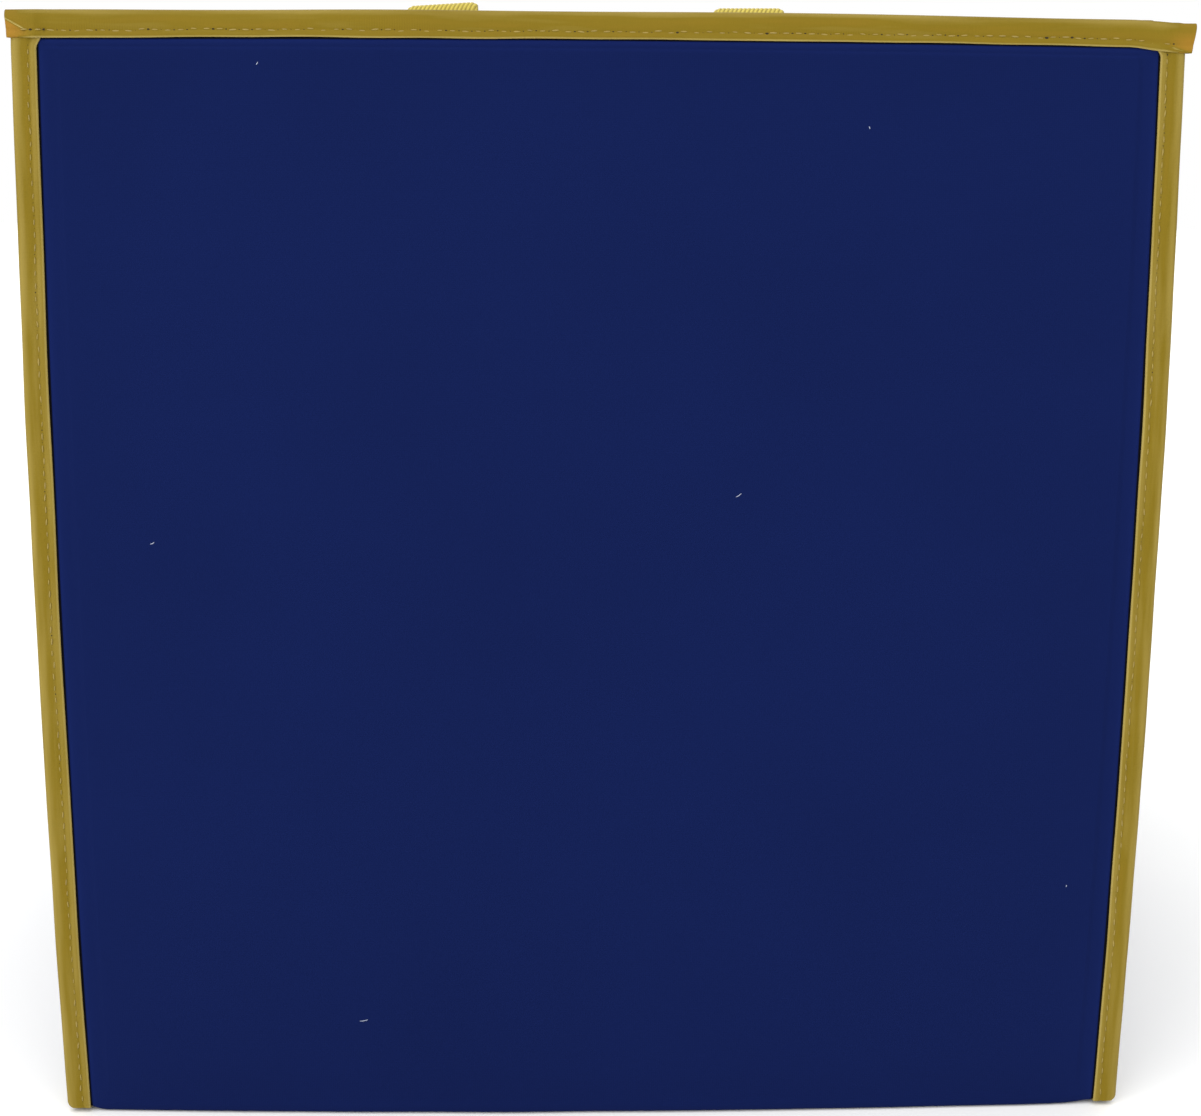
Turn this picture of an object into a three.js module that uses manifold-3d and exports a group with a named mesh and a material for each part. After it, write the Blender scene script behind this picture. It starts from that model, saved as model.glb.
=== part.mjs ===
// A collapsible fabric storage bin: board-stiffened walls of navy cloth, bound with yellow tape along
// the rim and the seams, with a webbing carry handle inside the front wall and inside the back wall.
//
// Millimetres, +Z up, origin on the floor under the middle of the bin, front wall towards -Y.
// The bin folds flat like a paper bag. Each side wall creases down its middle and folds inwards, the
// base creases across its middle and folds upwards, and the front wall travels to the back wall. The
// creases of a side wall leave a soft triangle at its foot, the gusset, which has no board in it.
import * as THREE from "three";
import { mergeVertices } from "three/addons/utils/BufferGeometryUtils.js";
import Module from "manifold-3d";

// ---- Driving dimensions -------------------------------------------------------------------------
const HEIGHT = 333; // floor to the top of the rim
const FACE = 158; // centre to the outer cloth face of each wall
const FLANGE = 165; // centre to the outer edge of a bound seam
const EAR = 166.8; // centre to the end of the rim tape, where it wraps over a seam

const GAP = 0.3; // clearance between pieces that touch
const CLOTH = 0.9; // outer cloth
const WALL_BOARD = 2.2; // board in a wall
const BASE_BOARD = 3; // board in the base
const LINING = 0.7; // lining cloth
const TAPE = 0.7; // binding tape
const RIM_TAPE_DROP = 7.8; // how far the rim tape reaches down each face
const SEAM_TAPE_COVER = 7; // how much of the wall a seam tape covers

const WEBBING_WIDTH = 20;
const WEBBING = 1.4; // webbing thickness
const LEG_SPACING = 86; // between the middles of a handle's two legs
const HANDLE_DROP = 70; // rim to the lowest point of a hanging handle
const SEWN_LENGTH = 27; // webbing sewn to the wall, below the rim
const LEG_STRAIGHT = 20; // hanging leg before it curves into the loop

// ---- Places worked out from them ----------------------------------------------------------------
const clothInner = FACE - CLOTH;
const boardOuter = clothInner - GAP;
const boardInner = boardOuter - WALL_BOARD;
const liningOuter = boardInner - GAP;
const liningInner = liningOuter - LINING;
const tapeInner = liningInner - GAP - TAPE; // innermost face of the rim tape, and every corner hinge
const tapeOuter = FACE + GAP + TAPE; // outermost face of the tape, and the side walls' middle hinge
const hingeRise = tapeOuter - tapeInner; // the base's hinges sit this high, so both folds keep in step

const wallTop = HEIGHT - TAPE - GAP; // top edge of the cloth and the boards' pockets
const boardTop = HEIGHT - 10;
const boardFoot = 4;
const boardEdge = 150; // boards stop short of the seams
const cornerRadius = 6; // rounded corners of a board
const gussetMargin = 20; // room between the base's swing and a side panel's slanted foot
const plateEnd = tapeInner - 0.6; // side panels and base halves stop short of the corner hinges
const creaseHalf = 0.3; // half the gap at a middle crease
const seamTapeFoot = 1.5; // the upright seams stop just above the floor
const rimShoulder = 156; // where the rim tape narrows from the wall's thickness to the seam's

// ---- Colours ------------------------------------------------------------------------------------
const navyCloth = new THREE.MeshStandardMaterial({ color: "#16225a", roughness: 0.9, metalness: 0 });
const navyLining = new THREE.MeshStandardMaterial({ color: "#141d48", roughness: 0.95, metalness: 0 });
const yellowTape = new THREE.MeshStandardMaterial({ color: "#a88c30", roughness: 0.6, metalness: 0 });
const yellowWebbing = new THREE.MeshStandardMaterial({ color: "#d3bb4e", roughness: 0.7, metalness: 0 });
const greyBoard = new THREE.MeshStandardMaterial({ color: "#8c8678", roughness: 0.95, metalness: 0 });

// ---- Solids -------------------------------------------------------------------------------------
const wasm = await Module();
wasm.setup();

// A box between two corners.
function box(low, high) {
  const size = high.map((value, axis) => value - low[axis]);
  const geometry = new THREE.BoxGeometry(...size);
  return geometry.translate(...low.map((value, axis) => value + size[axis] / 2));
}

// A flat outline, [across, up] points, given a thickness from `near` to `far` along the third axis.
// facing "y" lays the outline in the XZ plane, "x" in the YZ plane and "z" in the XY plane.
function plate(outline, near, far, facing) {
  const settings = { depth: far - near, bevelEnabled: false, curveSegments: 6 };
  const geometry = new THREE.ExtrudeGeometry(outline, settings);
  geometry.translate(0, 0, near);
  if (facing === "y") {
    geometry.rotateX(Math.PI / 2);
    geometry.scale(1, -1, 1);
  }
  if (facing === "x") {
    geometry.rotateX(Math.PI / 2);
    geometry.rotateZ(Math.PI / 2);
  }
  return geometry;
}

// The same outline as a THREE.Shape, from its corner points.
function polygon(points) {
  return new THREE.Shape(points.map(([across, up]) => new THREE.Vector2(across, up)));
}

// A rectangle with rounded corners.
function roundedRectangle(left, bottom, right, top, radius) {
  const shape = new THREE.Shape();
  shape.moveTo(left + radius, bottom);
  shape.absarc(right - radius, bottom + radius, radius, -Math.PI / 2, 0, false);
  shape.absarc(right - radius, top - radius, radius, 0, Math.PI / 2, false);
  shape.absarc(left + radius, top - radius, radius, Math.PI / 2, Math.PI, false);
  shape.absarc(left + radius, bottom + radius, radius, Math.PI, 1.5 * Math.PI, false);
  return shape;
}

// A closed geometry as a manifold-3d solid, and back.
function solidOf(geometry) {
  const bare = geometry.index ? geometry.toNonIndexed() : geometry.clone();
  bare.deleteAttribute("normal");
  bare.deleteAttribute("uv");
  const merged = mergeVertices(bare, 1e-3);
  const vertProperties = merged.attributes.position.array.map(onGrid);
  const triVerts = new Uint32Array(merged.index.array);
  const made = new wasm.Manifold(new wasm.Mesh({ numProp: 3, vertProperties, triVerts }));
  return made.volume() < 0 ? solidOf(turnedInsideOut(bare)) : made;
}

// Faces that should lie in one plane are put exactly there, on a grid of a ten-thousandth.
function onGrid(value) {
  return Math.round(value * 1e4) / 1e4;
}

function turnedInsideOut(geometry) {
  const { array } = geometry.attributes.position;
  for (let i = 0; i < array.length; i += 9) {
    for (let k = 0; k < 3; k += 1) {
      [array[i + k], array[i + 3 + k]] = [array[i + 3 + k], array[i + k]];
    }
  }
  return geometry;
}

function geometryOf(solid) {
  const mesh = solid.getMesh();
  const position = new Float32Array(mesh.numVert * 3);
  for (let i = 0; i < mesh.numVert; i += 1) {
    position.set(mesh.vertProperties.subarray(i * mesh.numProp, i * mesh.numProp + 3), i * 3);
  }
  const geometry = new THREE.BufferGeometry();
  geometry.setAttribute("position", new THREE.BufferAttribute(position, 3));
  geometry.setIndex(new THREE.BufferAttribute(new Uint32Array(mesh.triVerts), 1));
  return geometry;
}

const bin = new THREE.Group();

// Adds one named piece, drawn at the bin's front or right and mirrored to the back or the left.
function addPiece(name, geometry, material, { toBack = false, toLeft = false } = {}) {
  const across = toLeft ? -1 : 1;
  const along = toBack ? -1 : 1;
  const placed = geometry.clone().scale(across, along, 1);
  const mesh = new THREE.Mesh(geometryOf(solidOf(placed)), material);
  mesh.name = name;
  bin.add(mesh);
}

// ---- Front and back walls -----------------------------------------------------------------------
// Drawn for the front wall, at -Y, and mirrored for the back one.

function wallCloth() {
  const seamInside = FLANGE - TAPE - GAP;
  return box([-seamInside, -FACE, 0], [seamInside, -clothInner, wallTop]);
}

function wallBoard() {
  const outline = roundedRectangle(-boardEdge, boardFoot, boardEdge, boardTop, cornerRadius);
  return plate(outline, -boardOuter, -boardInner, "y");
}

function wallLining() {
  return box([-liningInner, -liningOuter, hingeRise], [liningInner, -liningInner, wallTop]);
}

// A channel of tape over the wall's top edge, closed at both ends by an ear over the bound seam.
function wallRimTape() {
  const foot = HEIGHT - RIM_TAPE_DROP;
  const block = plate(rimPlan(0), foot, HEIGHT, "z");
  const pocket = plate(rimPlan(TAPE), foot - 1, HEIGHT - TAPE, "z");
  return geometryOf(solidOf(block).subtract(solidOf(pocket)));
}

// The rim tape's outline seen from above, drawn in by `inset` all round.
function rimPlan(inset) {
  const half = [
    [EAR - inset, -tapeOuter + inset],
    [EAR - inset, -seamTapeBack() - inset],
    [rimShoulder - inset, -seamTapeBack() - inset],
    [rimShoulder - inset, -tapeInner - inset],
  ];
  const mirrored = half.map(([x, y]) => [-x, y]).reverse();
  return polygon([...half, ...mirrored]);
}

// The seam holds the wall's cloth and the side panel's turned-out edge between two layers of tape.
function seamTapeBack() {
  return FACE - 2 * CLOTH - 2 * GAP - TAPE;
}

// Tape folded over the upright seam at the right-hand corner.
function uprightSeamTape() {
  const front = -tapeOuter;
  const back = -seamTapeBack();
  const plan = polygon([
    [FLANGE - SEAM_TAPE_COVER, front],
    [FLANGE, front],
    [FLANGE, back],
    [FACE + GAP, back],
    [FACE + GAP, back - TAPE],
    [FLANGE - TAPE, back - TAPE],
    [FLANGE - TAPE, front + TAPE],
    [FLANGE - SEAM_TAPE_COVER, front + TAPE],
  ]);
  return plate(plan, seamTapeFoot, HEIGHT - RIM_TAPE_DROP - GAP, "z");
}

// The side panel's edge, turned out flat behind the wall's cloth and caught in the same seam.
function turnedEdge() {
  const outer = clothInner - GAP;
  const top = HEIGHT - RIM_TAPE_DROP - GAP;
  return box([FACE + GAP, -outer, seamTapeFoot], [FLANGE - TAPE - GAP, -(outer - CLOTH), top]);
}

function addWall(name, toBack) {
  addPiece(`${name}_wall_cloth`, wallCloth(), navyCloth, { toBack });
  addPiece(`${name}_wall_board`, wallBoard(), greyBoard, { toBack });
  addPiece(`${name}_wall_lining`, wallLining(), navyLining, { toBack });
  addPiece(`${name}_rim_tape`, wallRimTape(), yellowTape, { toBack });
  for (const side of ["left", "right"]) {
    const toLeft = side === "left";
    addPiece(`${name}_${side}_seam_tape`, uprightSeamTape(), yellowTape, { toBack, toLeft });
    addPiece(`${name}_${side}_turned_edge`, turnedEdge(), navyCloth, { toBack, toLeft });
  }
}

// ---- Side walls ---------------------------------------------------------------------------------
// Drawn for the front half of the right wall. The foot slants up at 45 degrees to clear the base.

function sideHalf(inset, foot, top, near, far) {
  const corner = -(plateEnd - inset);
  const crease = -(creaseHalf + inset);
  const footAt = (along) => hingeRise + gussetMargin + tapeInner + along + foot;
  const outline = polygon([
    [corner, footAt(corner)],
    [crease, footAt(crease)],
    [crease, top],
    [corner, top],
  ]);
  return plate(outline, near, far, "x");
}

function sideRimTape() {
  return channel(tapeInner, tapeOuter, HEIGHT - RIM_TAPE_DROP, HEIGHT);
}

// A channel of tape along the front half of the side wall, open downwards.
function channel(inner, outer, foot, top) {
  const section = polygon([
    [inner, foot],
    [inner + TAPE, foot],
    [inner + TAPE, top - TAPE],
    [outer - TAPE, top - TAPE],
    [outer - TAPE, foot],
    [outer, foot],
    [outer, top],
    [inner, top],
  ]);
  return plate(section, -plateEnd, -creaseHalf, "y");
}

function addSideHalf(side, end) {
  const turn = { toLeft: side === "left", toBack: end === "rear" };
  const name = `${side}_${end}`;
  addPiece(`${name}_cloth`, sideHalf(0, 0, wallTop, clothInner, FACE), navyCloth, turn);
  addPiece(`${name}_board`, sideHalf(5, 6, boardTop, boardInner, boardOuter), greyBoard, turn);
  addPiece(`${name}_lining`, sideHalf(0, 0, wallTop, liningInner, liningOuter), navyLining, turn);
  addPiece(`${name}_rim_tape`, sideRimTape(), yellowTape, turn);
}

// The soft triangle between a side wall's two slanted feet, outer cloth and lining sewn together.
function gusset() {
  const half = plateEnd;
  const foot = 1;
  const rise = hingeRise + gussetMargin - 0.6;
  const outline = polygon([
    [-half, foot],
    [half, foot],
    [half, rise + tapeInner - half],
    [0, rise + tapeInner],
    [-half, rise + tapeInner - half],
  ]);
  return plate(outline, FACE - CLOTH - LINING - 0.2, FACE, "x");
}

// ---- Base ---------------------------------------------------------------------------------------
// Drawn for the front half.
const baseEdge = tapeInner - 0.4;

function baseLayer(inset, near, far, radius) {
  const front = -(plateEnd - inset);
  const crease = -(creaseHalf + inset);
  const edge = baseEdge - inset;
  const outline = radius
    ? roundedRectangle(-edge, front, edge, crease, radius)
    : polygon([[-edge, front], [edge, front], [edge, crease], [-edge, crease]]);
  return plate(outline, near, far, "z");
}

// Tape over the seam that joins the base to a side gusset, lying flat beside the floor.
function baseSeamTape() {
  const inner = FACE + GAP;
  const outer = FLANGE;
  const top = 2 * CLOTH + 3 * GAP + 2 * TAPE;
  const section = polygon([
    [inner, 0],
    [outer, 0],
    [outer, top],
    [inner, top],
    [inner, top - TAPE],
    [outer - TAPE, top - TAPE],
    [outer - TAPE, TAPE],
    [inner, TAPE],
  ]);
  return plate(section, -plateEnd, -creaseHalf, "y");
}

function addBaseHalf(end) {
  const toBack = end === "rear";
  const boardLow = CLOTH + GAP;
  const liningLow = boardLow + BASE_BOARD + GAP;
  addPiece(`base_${end}_cloth`, baseLayer(0, 0, CLOTH), navyCloth, { toBack });
  const board = baseLayer(4, boardLow, boardLow + BASE_BOARD, cornerRadius);
  addPiece(`base_${end}_board`, board, greyBoard, { toBack });
  addPiece(`base_${end}_lining`, baseLayer(0, liningLow, liningLow + LINING), navyLining, { toBack });
  for (const side of ["left", "right"]) {
    const toLeft = side === "left";
    addPiece(`base_${end}_${side}_seam_tape`, baseSeamTape(), yellowTape, { toBack, toLeft });
  }
}

// ---- Handles ------------------------------------------------------------------------------------
// Drawn for the front wall. Each end of the webbing is sewn to the inside of the rim and rises over a
// small bend. The loop hangs from the bend into the bin. It swings up about a line above the bend,
// half the bend's length over its foot, which brings the legs upright over their sewn ends.
const bendRadius = 3; // to the middle of the webbing
const sewnMiddle = -(tapeInner - GAP - WEBBING / 2);
const bendMiddle = sewnMiddle + bendRadius;
const hangMiddle = bendMiddle + bendRadius;
const crest = HEIGHT + 2.4; // top face of the webbing at the bend
const bendHeight = crest - WEBBING / 2 - bendRadius;
const handleLean = 6; // how far the loop's lowest point hangs towards the middle of the bin

// A strip of webbing along a path. Each step is { at, side }: its middle, and the unit vector along
// its width. The faces stand square to that width and to the path.
function strip(steps) {
  const corners = steps.map(({ at, side }, i) => {
    const ahead = steps[Math.min(i + 1, steps.length - 1)].at;
    const behind = steps[Math.max(i - 1, 0)].at;
    const way = ahead.clone().sub(behind).normalize();
    const face = new THREE.Vector3().crossVectors(side, way).normalize();
    return [[-1, -1], [1, -1], [1, 1], [-1, 1]].map(([across, out]) =>
      at
        .clone()
        .addScaledVector(side, (across * WEBBING_WIDTH) / 2)
        .addScaledVector(face, (out * WEBBING) / 2),
    );
  });
  const position = corners.flat().flatMap((point) => point.toArray());
  const index = [];
  const addQuad = (a, b, c, d) => index.push(a, b, c, a, c, d);
  for (let i = 0; i + 1 < steps.length; i += 1) {
    for (let k = 0; k < 4; k += 1) {
      const next = (k + 1) % 4;
      addQuad(4 * i + k, 4 * i + next, 4 * i + 4 + next, 4 * i + 4 + k);
    }
  }
  const last = 4 * (steps.length - 1);
  addQuad(3, 2, 1, 0);
  addQuad(last, last + 1, last + 2, last + 3);
  const geometry = new THREE.BufferGeometry();
  geometry.setAttribute("position", new THREE.Float32BufferAttribute(position, 3));
  geometry.setIndex(index);
  return geometry;
}

const acrossWall = new THREE.Vector3(1, 0, 0);

// Points round the bend, from `from` to `to` degrees: 180 is the sewn side and 0 the hanging side.
function bendSteps(x, from, to, count) {
  return Array.from({ length: count + 1 }, (_, i) => {
    const angle = THREE.MathUtils.degToRad(from + ((to - from) * i) / count);
    const y = bendMiddle + bendRadius * Math.cos(angle);
    const z = bendHeight + bendRadius * Math.sin(angle);
    return { at: new THREE.Vector3(x, y, z), side: acrossWall };
  });
}

// The sewn end on the right, from its cut end to just short of the crest.
function sewnEnd() {
  const x = LEG_SPACING / 2;
  const cutEnd = new THREE.Vector3(x, sewnMiddle, HEIGHT - SEWN_LENGTH);
  return strip([{ at: cutEnd, side: acrossWall }, ...bendSteps(x, 180, 97, 5)]);
}

// The whole hanging loop. Its legs hang flat to the wall, and the webbing turns a quarter to lie
// level at the bottom of the loop.
function hangingLoop() {
  const half = LEG_SPACING / 2;
  const legFoot = bendHeight - LEG_STRAIGHT;
  const drop = legFoot - (HEIGHT - HANDLE_DROP) - WEBBING / 2;
  const curveSteps = 24;
  const leftLeg = bendSteps(-half, 83, 0, 5);
  const curve = Array.from({ length: curveSteps + 1 }, (_, i) => {
    const angle = (Math.PI * i) / curveSteps;
    const hang = Math.sin(angle);
    const at = new THREE.Vector3(
      -half * Math.cos(angle),
      hangMiddle + handleLean * hang * hang,
      legFoot - drop * hang,
    );
    const way = new THREE.Vector3(half * Math.sin(angle), 0, -drop * Math.cos(angle)).normalize();
    const inPlane = new THREE.Vector3(-way.z, 0, way.x);
    const turn = (Math.PI / 2) * THREE.MathUtils.smoothstep(hang, 0.05, 1);
    const side = inPlane.multiplyScalar(Math.cos(turn)).add(new THREE.Vector3(0, Math.sin(turn), 0));
    return { at, side: side.normalize() };
  });
  const rightLeg = bendSteps(half, 0, 83, 5).map(({ at, side }) => ({ at, side: side.clone().negate() }));
  return strip([...leftLeg, ...curve, ...rightLeg]);
}

function addHandle(name, toBack) {
  for (const side of ["left", "right"]) {
    addPiece(`${name}_handle_${side}_end`, sewnEnd(), yellowWebbing, { toBack, toLeft: side === "left" });
  }
  addPiece(`${name}_handle_loop`, hangingLoop(), yellowWebbing, { toBack });
}

// ---- The bin ------------------------------------------------------------------------------------
for (const [name, toBack] of [["front", false], ["back", true]]) {
  addWall(name, toBack);
  addHandle(name, toBack);
}
for (const side of ["left", "right"]) {
  addSideHalf(side, "front");
  addSideHalf(side, "rear");
  addPiece(`${side}_gusset`, gusset(), navyCloth, { toLeft: side === "left" });
}
addBaseHalf("front");
addBaseHalf("rear");

export default bin;
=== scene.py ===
"""The looks of a folding fabric storage bin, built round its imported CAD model.

Every piece is drawn in millimetres in the bin's own frame and stored in metres. A wall is drawn in
its own flat measures: `s` runs along it, `d` points out of the bin and z points up. The four walls
differ only by quarter turns about Z.
"""

import math

import bpy
import numpy as np
from bpy.props import FloatProperty, FloatVectorProperty, IntProperty, PointerProperty
from mathutils import Matrix, Vector


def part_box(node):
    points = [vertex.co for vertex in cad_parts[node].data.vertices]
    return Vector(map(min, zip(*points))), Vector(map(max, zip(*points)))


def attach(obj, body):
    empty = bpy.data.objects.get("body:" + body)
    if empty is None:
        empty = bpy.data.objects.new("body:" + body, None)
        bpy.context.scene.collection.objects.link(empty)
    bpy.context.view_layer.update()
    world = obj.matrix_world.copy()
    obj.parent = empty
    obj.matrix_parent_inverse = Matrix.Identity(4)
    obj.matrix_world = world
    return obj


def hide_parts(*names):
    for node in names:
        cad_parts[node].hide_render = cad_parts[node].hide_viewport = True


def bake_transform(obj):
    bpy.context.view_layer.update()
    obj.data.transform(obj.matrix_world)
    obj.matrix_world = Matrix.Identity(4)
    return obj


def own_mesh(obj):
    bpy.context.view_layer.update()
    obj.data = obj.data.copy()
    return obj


bl_info = {
    "name": "Fabric storage bin",
    "version": (1, 0, 0),
    "blender": (4, 5, 0),
    "location": "3D View > Sidebar > Storage Bin",
    "description": "Cloth, binding, handles and stage of a folding storage bin",
    "category": "Object",
}

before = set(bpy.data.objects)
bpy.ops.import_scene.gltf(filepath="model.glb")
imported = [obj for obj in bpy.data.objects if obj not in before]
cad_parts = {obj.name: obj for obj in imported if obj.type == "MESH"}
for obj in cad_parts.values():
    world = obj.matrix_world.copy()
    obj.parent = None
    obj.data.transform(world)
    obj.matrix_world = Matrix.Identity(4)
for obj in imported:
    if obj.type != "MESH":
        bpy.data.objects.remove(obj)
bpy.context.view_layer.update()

TO_METRES = 0.001
TO_MM = 1000.0
LOW, HIGH = 0, 1


def cad(node, corner, axis):
    """One side of a CAD node's box, as a distance from the bin's middle in metres."""
    return abs(getattr(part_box(node)[corner], axis))


# --- Settings ---


def length(name, description, default):
    """A size in metres that a user can change."""
    return FloatProperty(name=name, description=description, default=default, unit="LENGTH", precision=5)


def linear(hex_colour):
    """An sRGB hex colour as linear red, green and blue."""
    values = [int(hex_colour[i : i + 2], 16) / 255 for i in (1, 3, 5)]
    return tuple(v / 12.92 if v <= 0.04045 else ((v + 0.055) / 1.055) ** 2.4 for v in values)


def colour(name, description, hex_colour):
    """A colour that a user can change."""
    shown = {"name": name, "description": description, "default": linear(hex_colour)}
    return FloatVectorProperty(**shown, subtype="COLOR", size=3, min=0, max=1)


class BinSizes(bpy.types.PropertyGroup):
    """Sizes of the walls, their cloth and their tape, and how far they settle"""

    height: length("Height", "Floor to the top of the rim", cad("front_rim_tape", HIGH, "z"))
    face: length("Face", "Middle to the outer cloth of a wall", cad("front_wall_cloth", LOW, "y"))
    flange: length("Flange", "Middle to the edge of a bound seam", cad("front_right_seam_tape", HIGH, "x"))
    ear: length("Ear", "Middle to the end of the rim tape", cad("front_rim_tape", HIGH, "x"))
    tape_out: length("Tape outside", "Middle to the rim tape's outside", cad("front_rim_tape", LOW, "y"))
    tape_in: length("Tape inside", "Middle to the rim tape's inside", cad("front_rim_tape", HIGH, "y"))
    tape_foot: length("Tape foot", "Floor to the rim tape's lower edge", cad("front_rim_tape", LOW, "z"))
    seam_back: length("Seam back", "Middle to a seam tape's back", cad("front_right_seam_tape", HIGH, "y"))
    cloth: length("Cloth", "Thickness of the outer cloth", 0.0009)
    lining: length("Lining", "Thickness of the lining", 0.0007)
    board: length("Board", "Thickness of a wall's board", 0.0022)
    spread: length("Spread", "How far the corners bow out halfway up", 0.0015)
    slump: length("Slump", "How far a wall's foot bellies out", 0.0046)
    belly: length("Belly", "How far the middle of a wall bellies out", 0.0010)
    crown: length("Crown", "How far the middle of the rim rises", 0.0011)


class StitchSizes(bpy.types.PropertyGroup):
    """Sizes of the stitches and needle holes"""

    pitch: length("Pitch", "From one stitch to the next", 0.0036)
    thread: length("Thread", "Width of a stitch", 0.00042)
    dash: length("Dash", "Length of a stitch that shows", 0.0021)
    hole: length("Needle hole", "Width of the dimple between two stitches", 0.00050)
    seed: IntProperty(name="Seed", description="Seed for the stitches' small turns", default=7)


class HandleSizes(bpy.types.PropertyGroup):
    """Sizes of the webbing handles"""

    width: length("Width", "Width of the webbing", 0.020)
    webbing: length("Webbing", "Thickness of the webbing", 0.0014)
    rib: length("Rib", "From one rib of the weave to the next", 0.0012)
    spacing: length("Spacing", "Between the middles of the two legs", 0.086)
    drop: length("Drop", "Rim to the lowest point of a hanging handle", 0.070)


class BinColours(bpy.types.PropertyGroup):
    """Colours of the materials"""

    cloth: colour("Cloth", "Navy polyester cloth", "#0b1846")
    lining: colour("Lining", "Navy lining", "#081649")
    tape: colour("Tape", "Mustard binding tape", "#776311")
    thread: colour("Thread", "Pale yellow sewing thread", "#907c3a")
    # The needle holes' colour is painted shade in the dimples between stitches.
    needle_hole: colour("Needle holes", "Shaded dimples between stitches", "#2e2408")
    webbing: colour("Webbing", "Bright yellow webbing", "#cab850")
    board: colour("Board", "Grey board inside the walls", "#8c8678")
    lint: colour("Lint", "Specks of pale lint", "#9aa0b4")
    floor: colour("Floor", "Pale studio floor", "#fbfbfa")


# --- Walls and how they settle ---

QUARTER_TURNS = {"front": 0, "right": 1, "back": 2, "left": 3}
# Each side wall is two halves. `s` runs towards the back on the right wall and the front on the left.
SIDE_HALVES = {
    ("right", -1): "right_front",
    ("right", 1): "right_rear",
    ("left", -1): "left_rear",
    ("left", 1): "left_front",
}


class Measures:
    """The bin's sizes in millimetres."""

    def __init__(self, context):
        for group in (context.scene.bin_sizes, context.scene.bin_handles, context.scene.bin_stitches):
            for key in group.bl_rna.properties.keys():
                if isinstance(getattr(group, key, None), float):
                    setattr(self, key, getattr(group, key) * TO_MM)
        self.rise = self.tape_out - self.tape_in  # height of the base's hinges
        self.hinge = self.tape_in  # middle to each corner hinge
        self.gusset_margin = 20.0
        self.side_end = self.tape_in - 0.6
        self.lining_face = self.tape_in + 1.0
        self.board_top = self.height - 10.0
        self.rim_reach = self.height - self.tape_foot  # the rim tape's height


def on_wall(wall, s, d, z):
    """Points of a wall, given along it, outwards and upwards, as an array of x, y, z."""
    s, d, z = np.broadcast_arrays(np.asarray(s, float), np.asarray(d, float), np.asarray(z, float))
    x, y = s, -d
    for _ in range(QUARTER_TURNS[wall]):
        x, y = -y, x
    return np.stack([x, y, z], axis=-1)


def settle(points, m):
    """The stuffed look of the walls: corners bow a little, front and back belly out and the rim crowns.

    The side walls stay flat at their crease, where they fold.
    """
    x, y, z = points[..., 0], points[..., 1], points[..., 2]
    up = np.clip(z / m.height, 0, 1)
    halfway = 1 - (2 * up - 1) ** 2
    out = m.slump * (1 - up) ** 1.5 + m.belly * halfway
    near_x = np.clip(np.abs(x) / m.flange, 0, 1)
    near_y = np.clip(np.abs(y) / m.tape_out, 0, 1)
    dx = x / m.flange * m.spread * halfway * near_y**4
    dy = y / m.tape_out * m.spread * halfway + np.sign(y) * near_y**10 * out * (1 - near_x**2)
    dz = m.crown * up**6 * (1 - near_x**2 * near_y**2)
    return points + np.stack([dx, dy, dz], axis=-1)


def placed(m, wall, s, d, z):
    """Points of a wall as they lie in the settled bin."""
    return settle(on_wall(wall, s, d, z), m)


def ripple(s, z, seed, size=0.12, shortest=28, longest=110):
    """Slow unevenness of cloth over board, from waves of the given lengths in millimetres."""
    draw = np.random.default_rng(seed)
    total = 0.0
    for _ in range(7):
        turn = draw.uniform(0, 2 * math.pi)
        wave = draw.uniform(shortest, longest)
        phase = draw.uniform(0, 2 * math.pi)
        total = total + np.sin((s * math.cos(turn) + z * math.sin(turn)) * 2 * math.pi / wave + phase)
    return size * total / 7 * 1.8


def smooth(low, high, value):
    """0 up to `low` and 1 from `high` on, with an easy slope between them."""
    t = np.clip((value - low) / (high - low), 0, 1)
    return t * t * (3 - 2 * t)


# --- Meshes ---


def make_mesh(name, vertices, faces, material, uv=None, sharp=40.0, tint=None):
    """An object from points in millimetres and faces, turned so that its faces point outwards."""
    mesh = bpy.data.meshes.new(name)
    mesh.from_pydata((vertices * TO_METRES).tolist(), [], [list(f) for f in faces])
    mesh.update()
    mesh.calc_loop_triangles()
    triangles = np.array([t.vertices[:] for t in mesh.loop_triangles])
    a, b, c = (vertices[triangles[:, i]] for i in range(3))
    if np.einsum("ij,ij->i", a, np.cross(b, c)).sum() < 0:
        mesh.flip_normals()
    if uv is not None:
        layer = mesh.uv_layers.new(name="UVMap")
        loops = np.zeros(len(mesh.loops), int)
        mesh.loops.foreach_get("vertex_index", loops)
        layer.data.foreach_set("uv", (uv[loops] * TO_METRES).astype(np.float32).ravel())
    if tint is not None:
        layer = mesh.attributes.new("tint", "FLOAT", "POINT")
        layer.data.foreach_set("value", np.asarray(tint, np.float32).ravel())
    mesh.shade_smooth()
    mesh.set_sharp_from_angle(angle=math.radians(sharp))
    mesh.materials.append(material)
    return add_object(name, mesh)


def add_object(name, data):
    """A new object of the scene, at the origin."""
    made = bpy.data.objects.new(name, data)
    bpy.context.scene.collection.objects.link(made)
    return made


def path_length(points):
    """Running length along the first axis of an array of points."""
    steps = np.linalg.norm(np.diff(points, axis=0), axis=-1)
    return np.concatenate([[0.0], np.cumsum(steps)])


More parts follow.
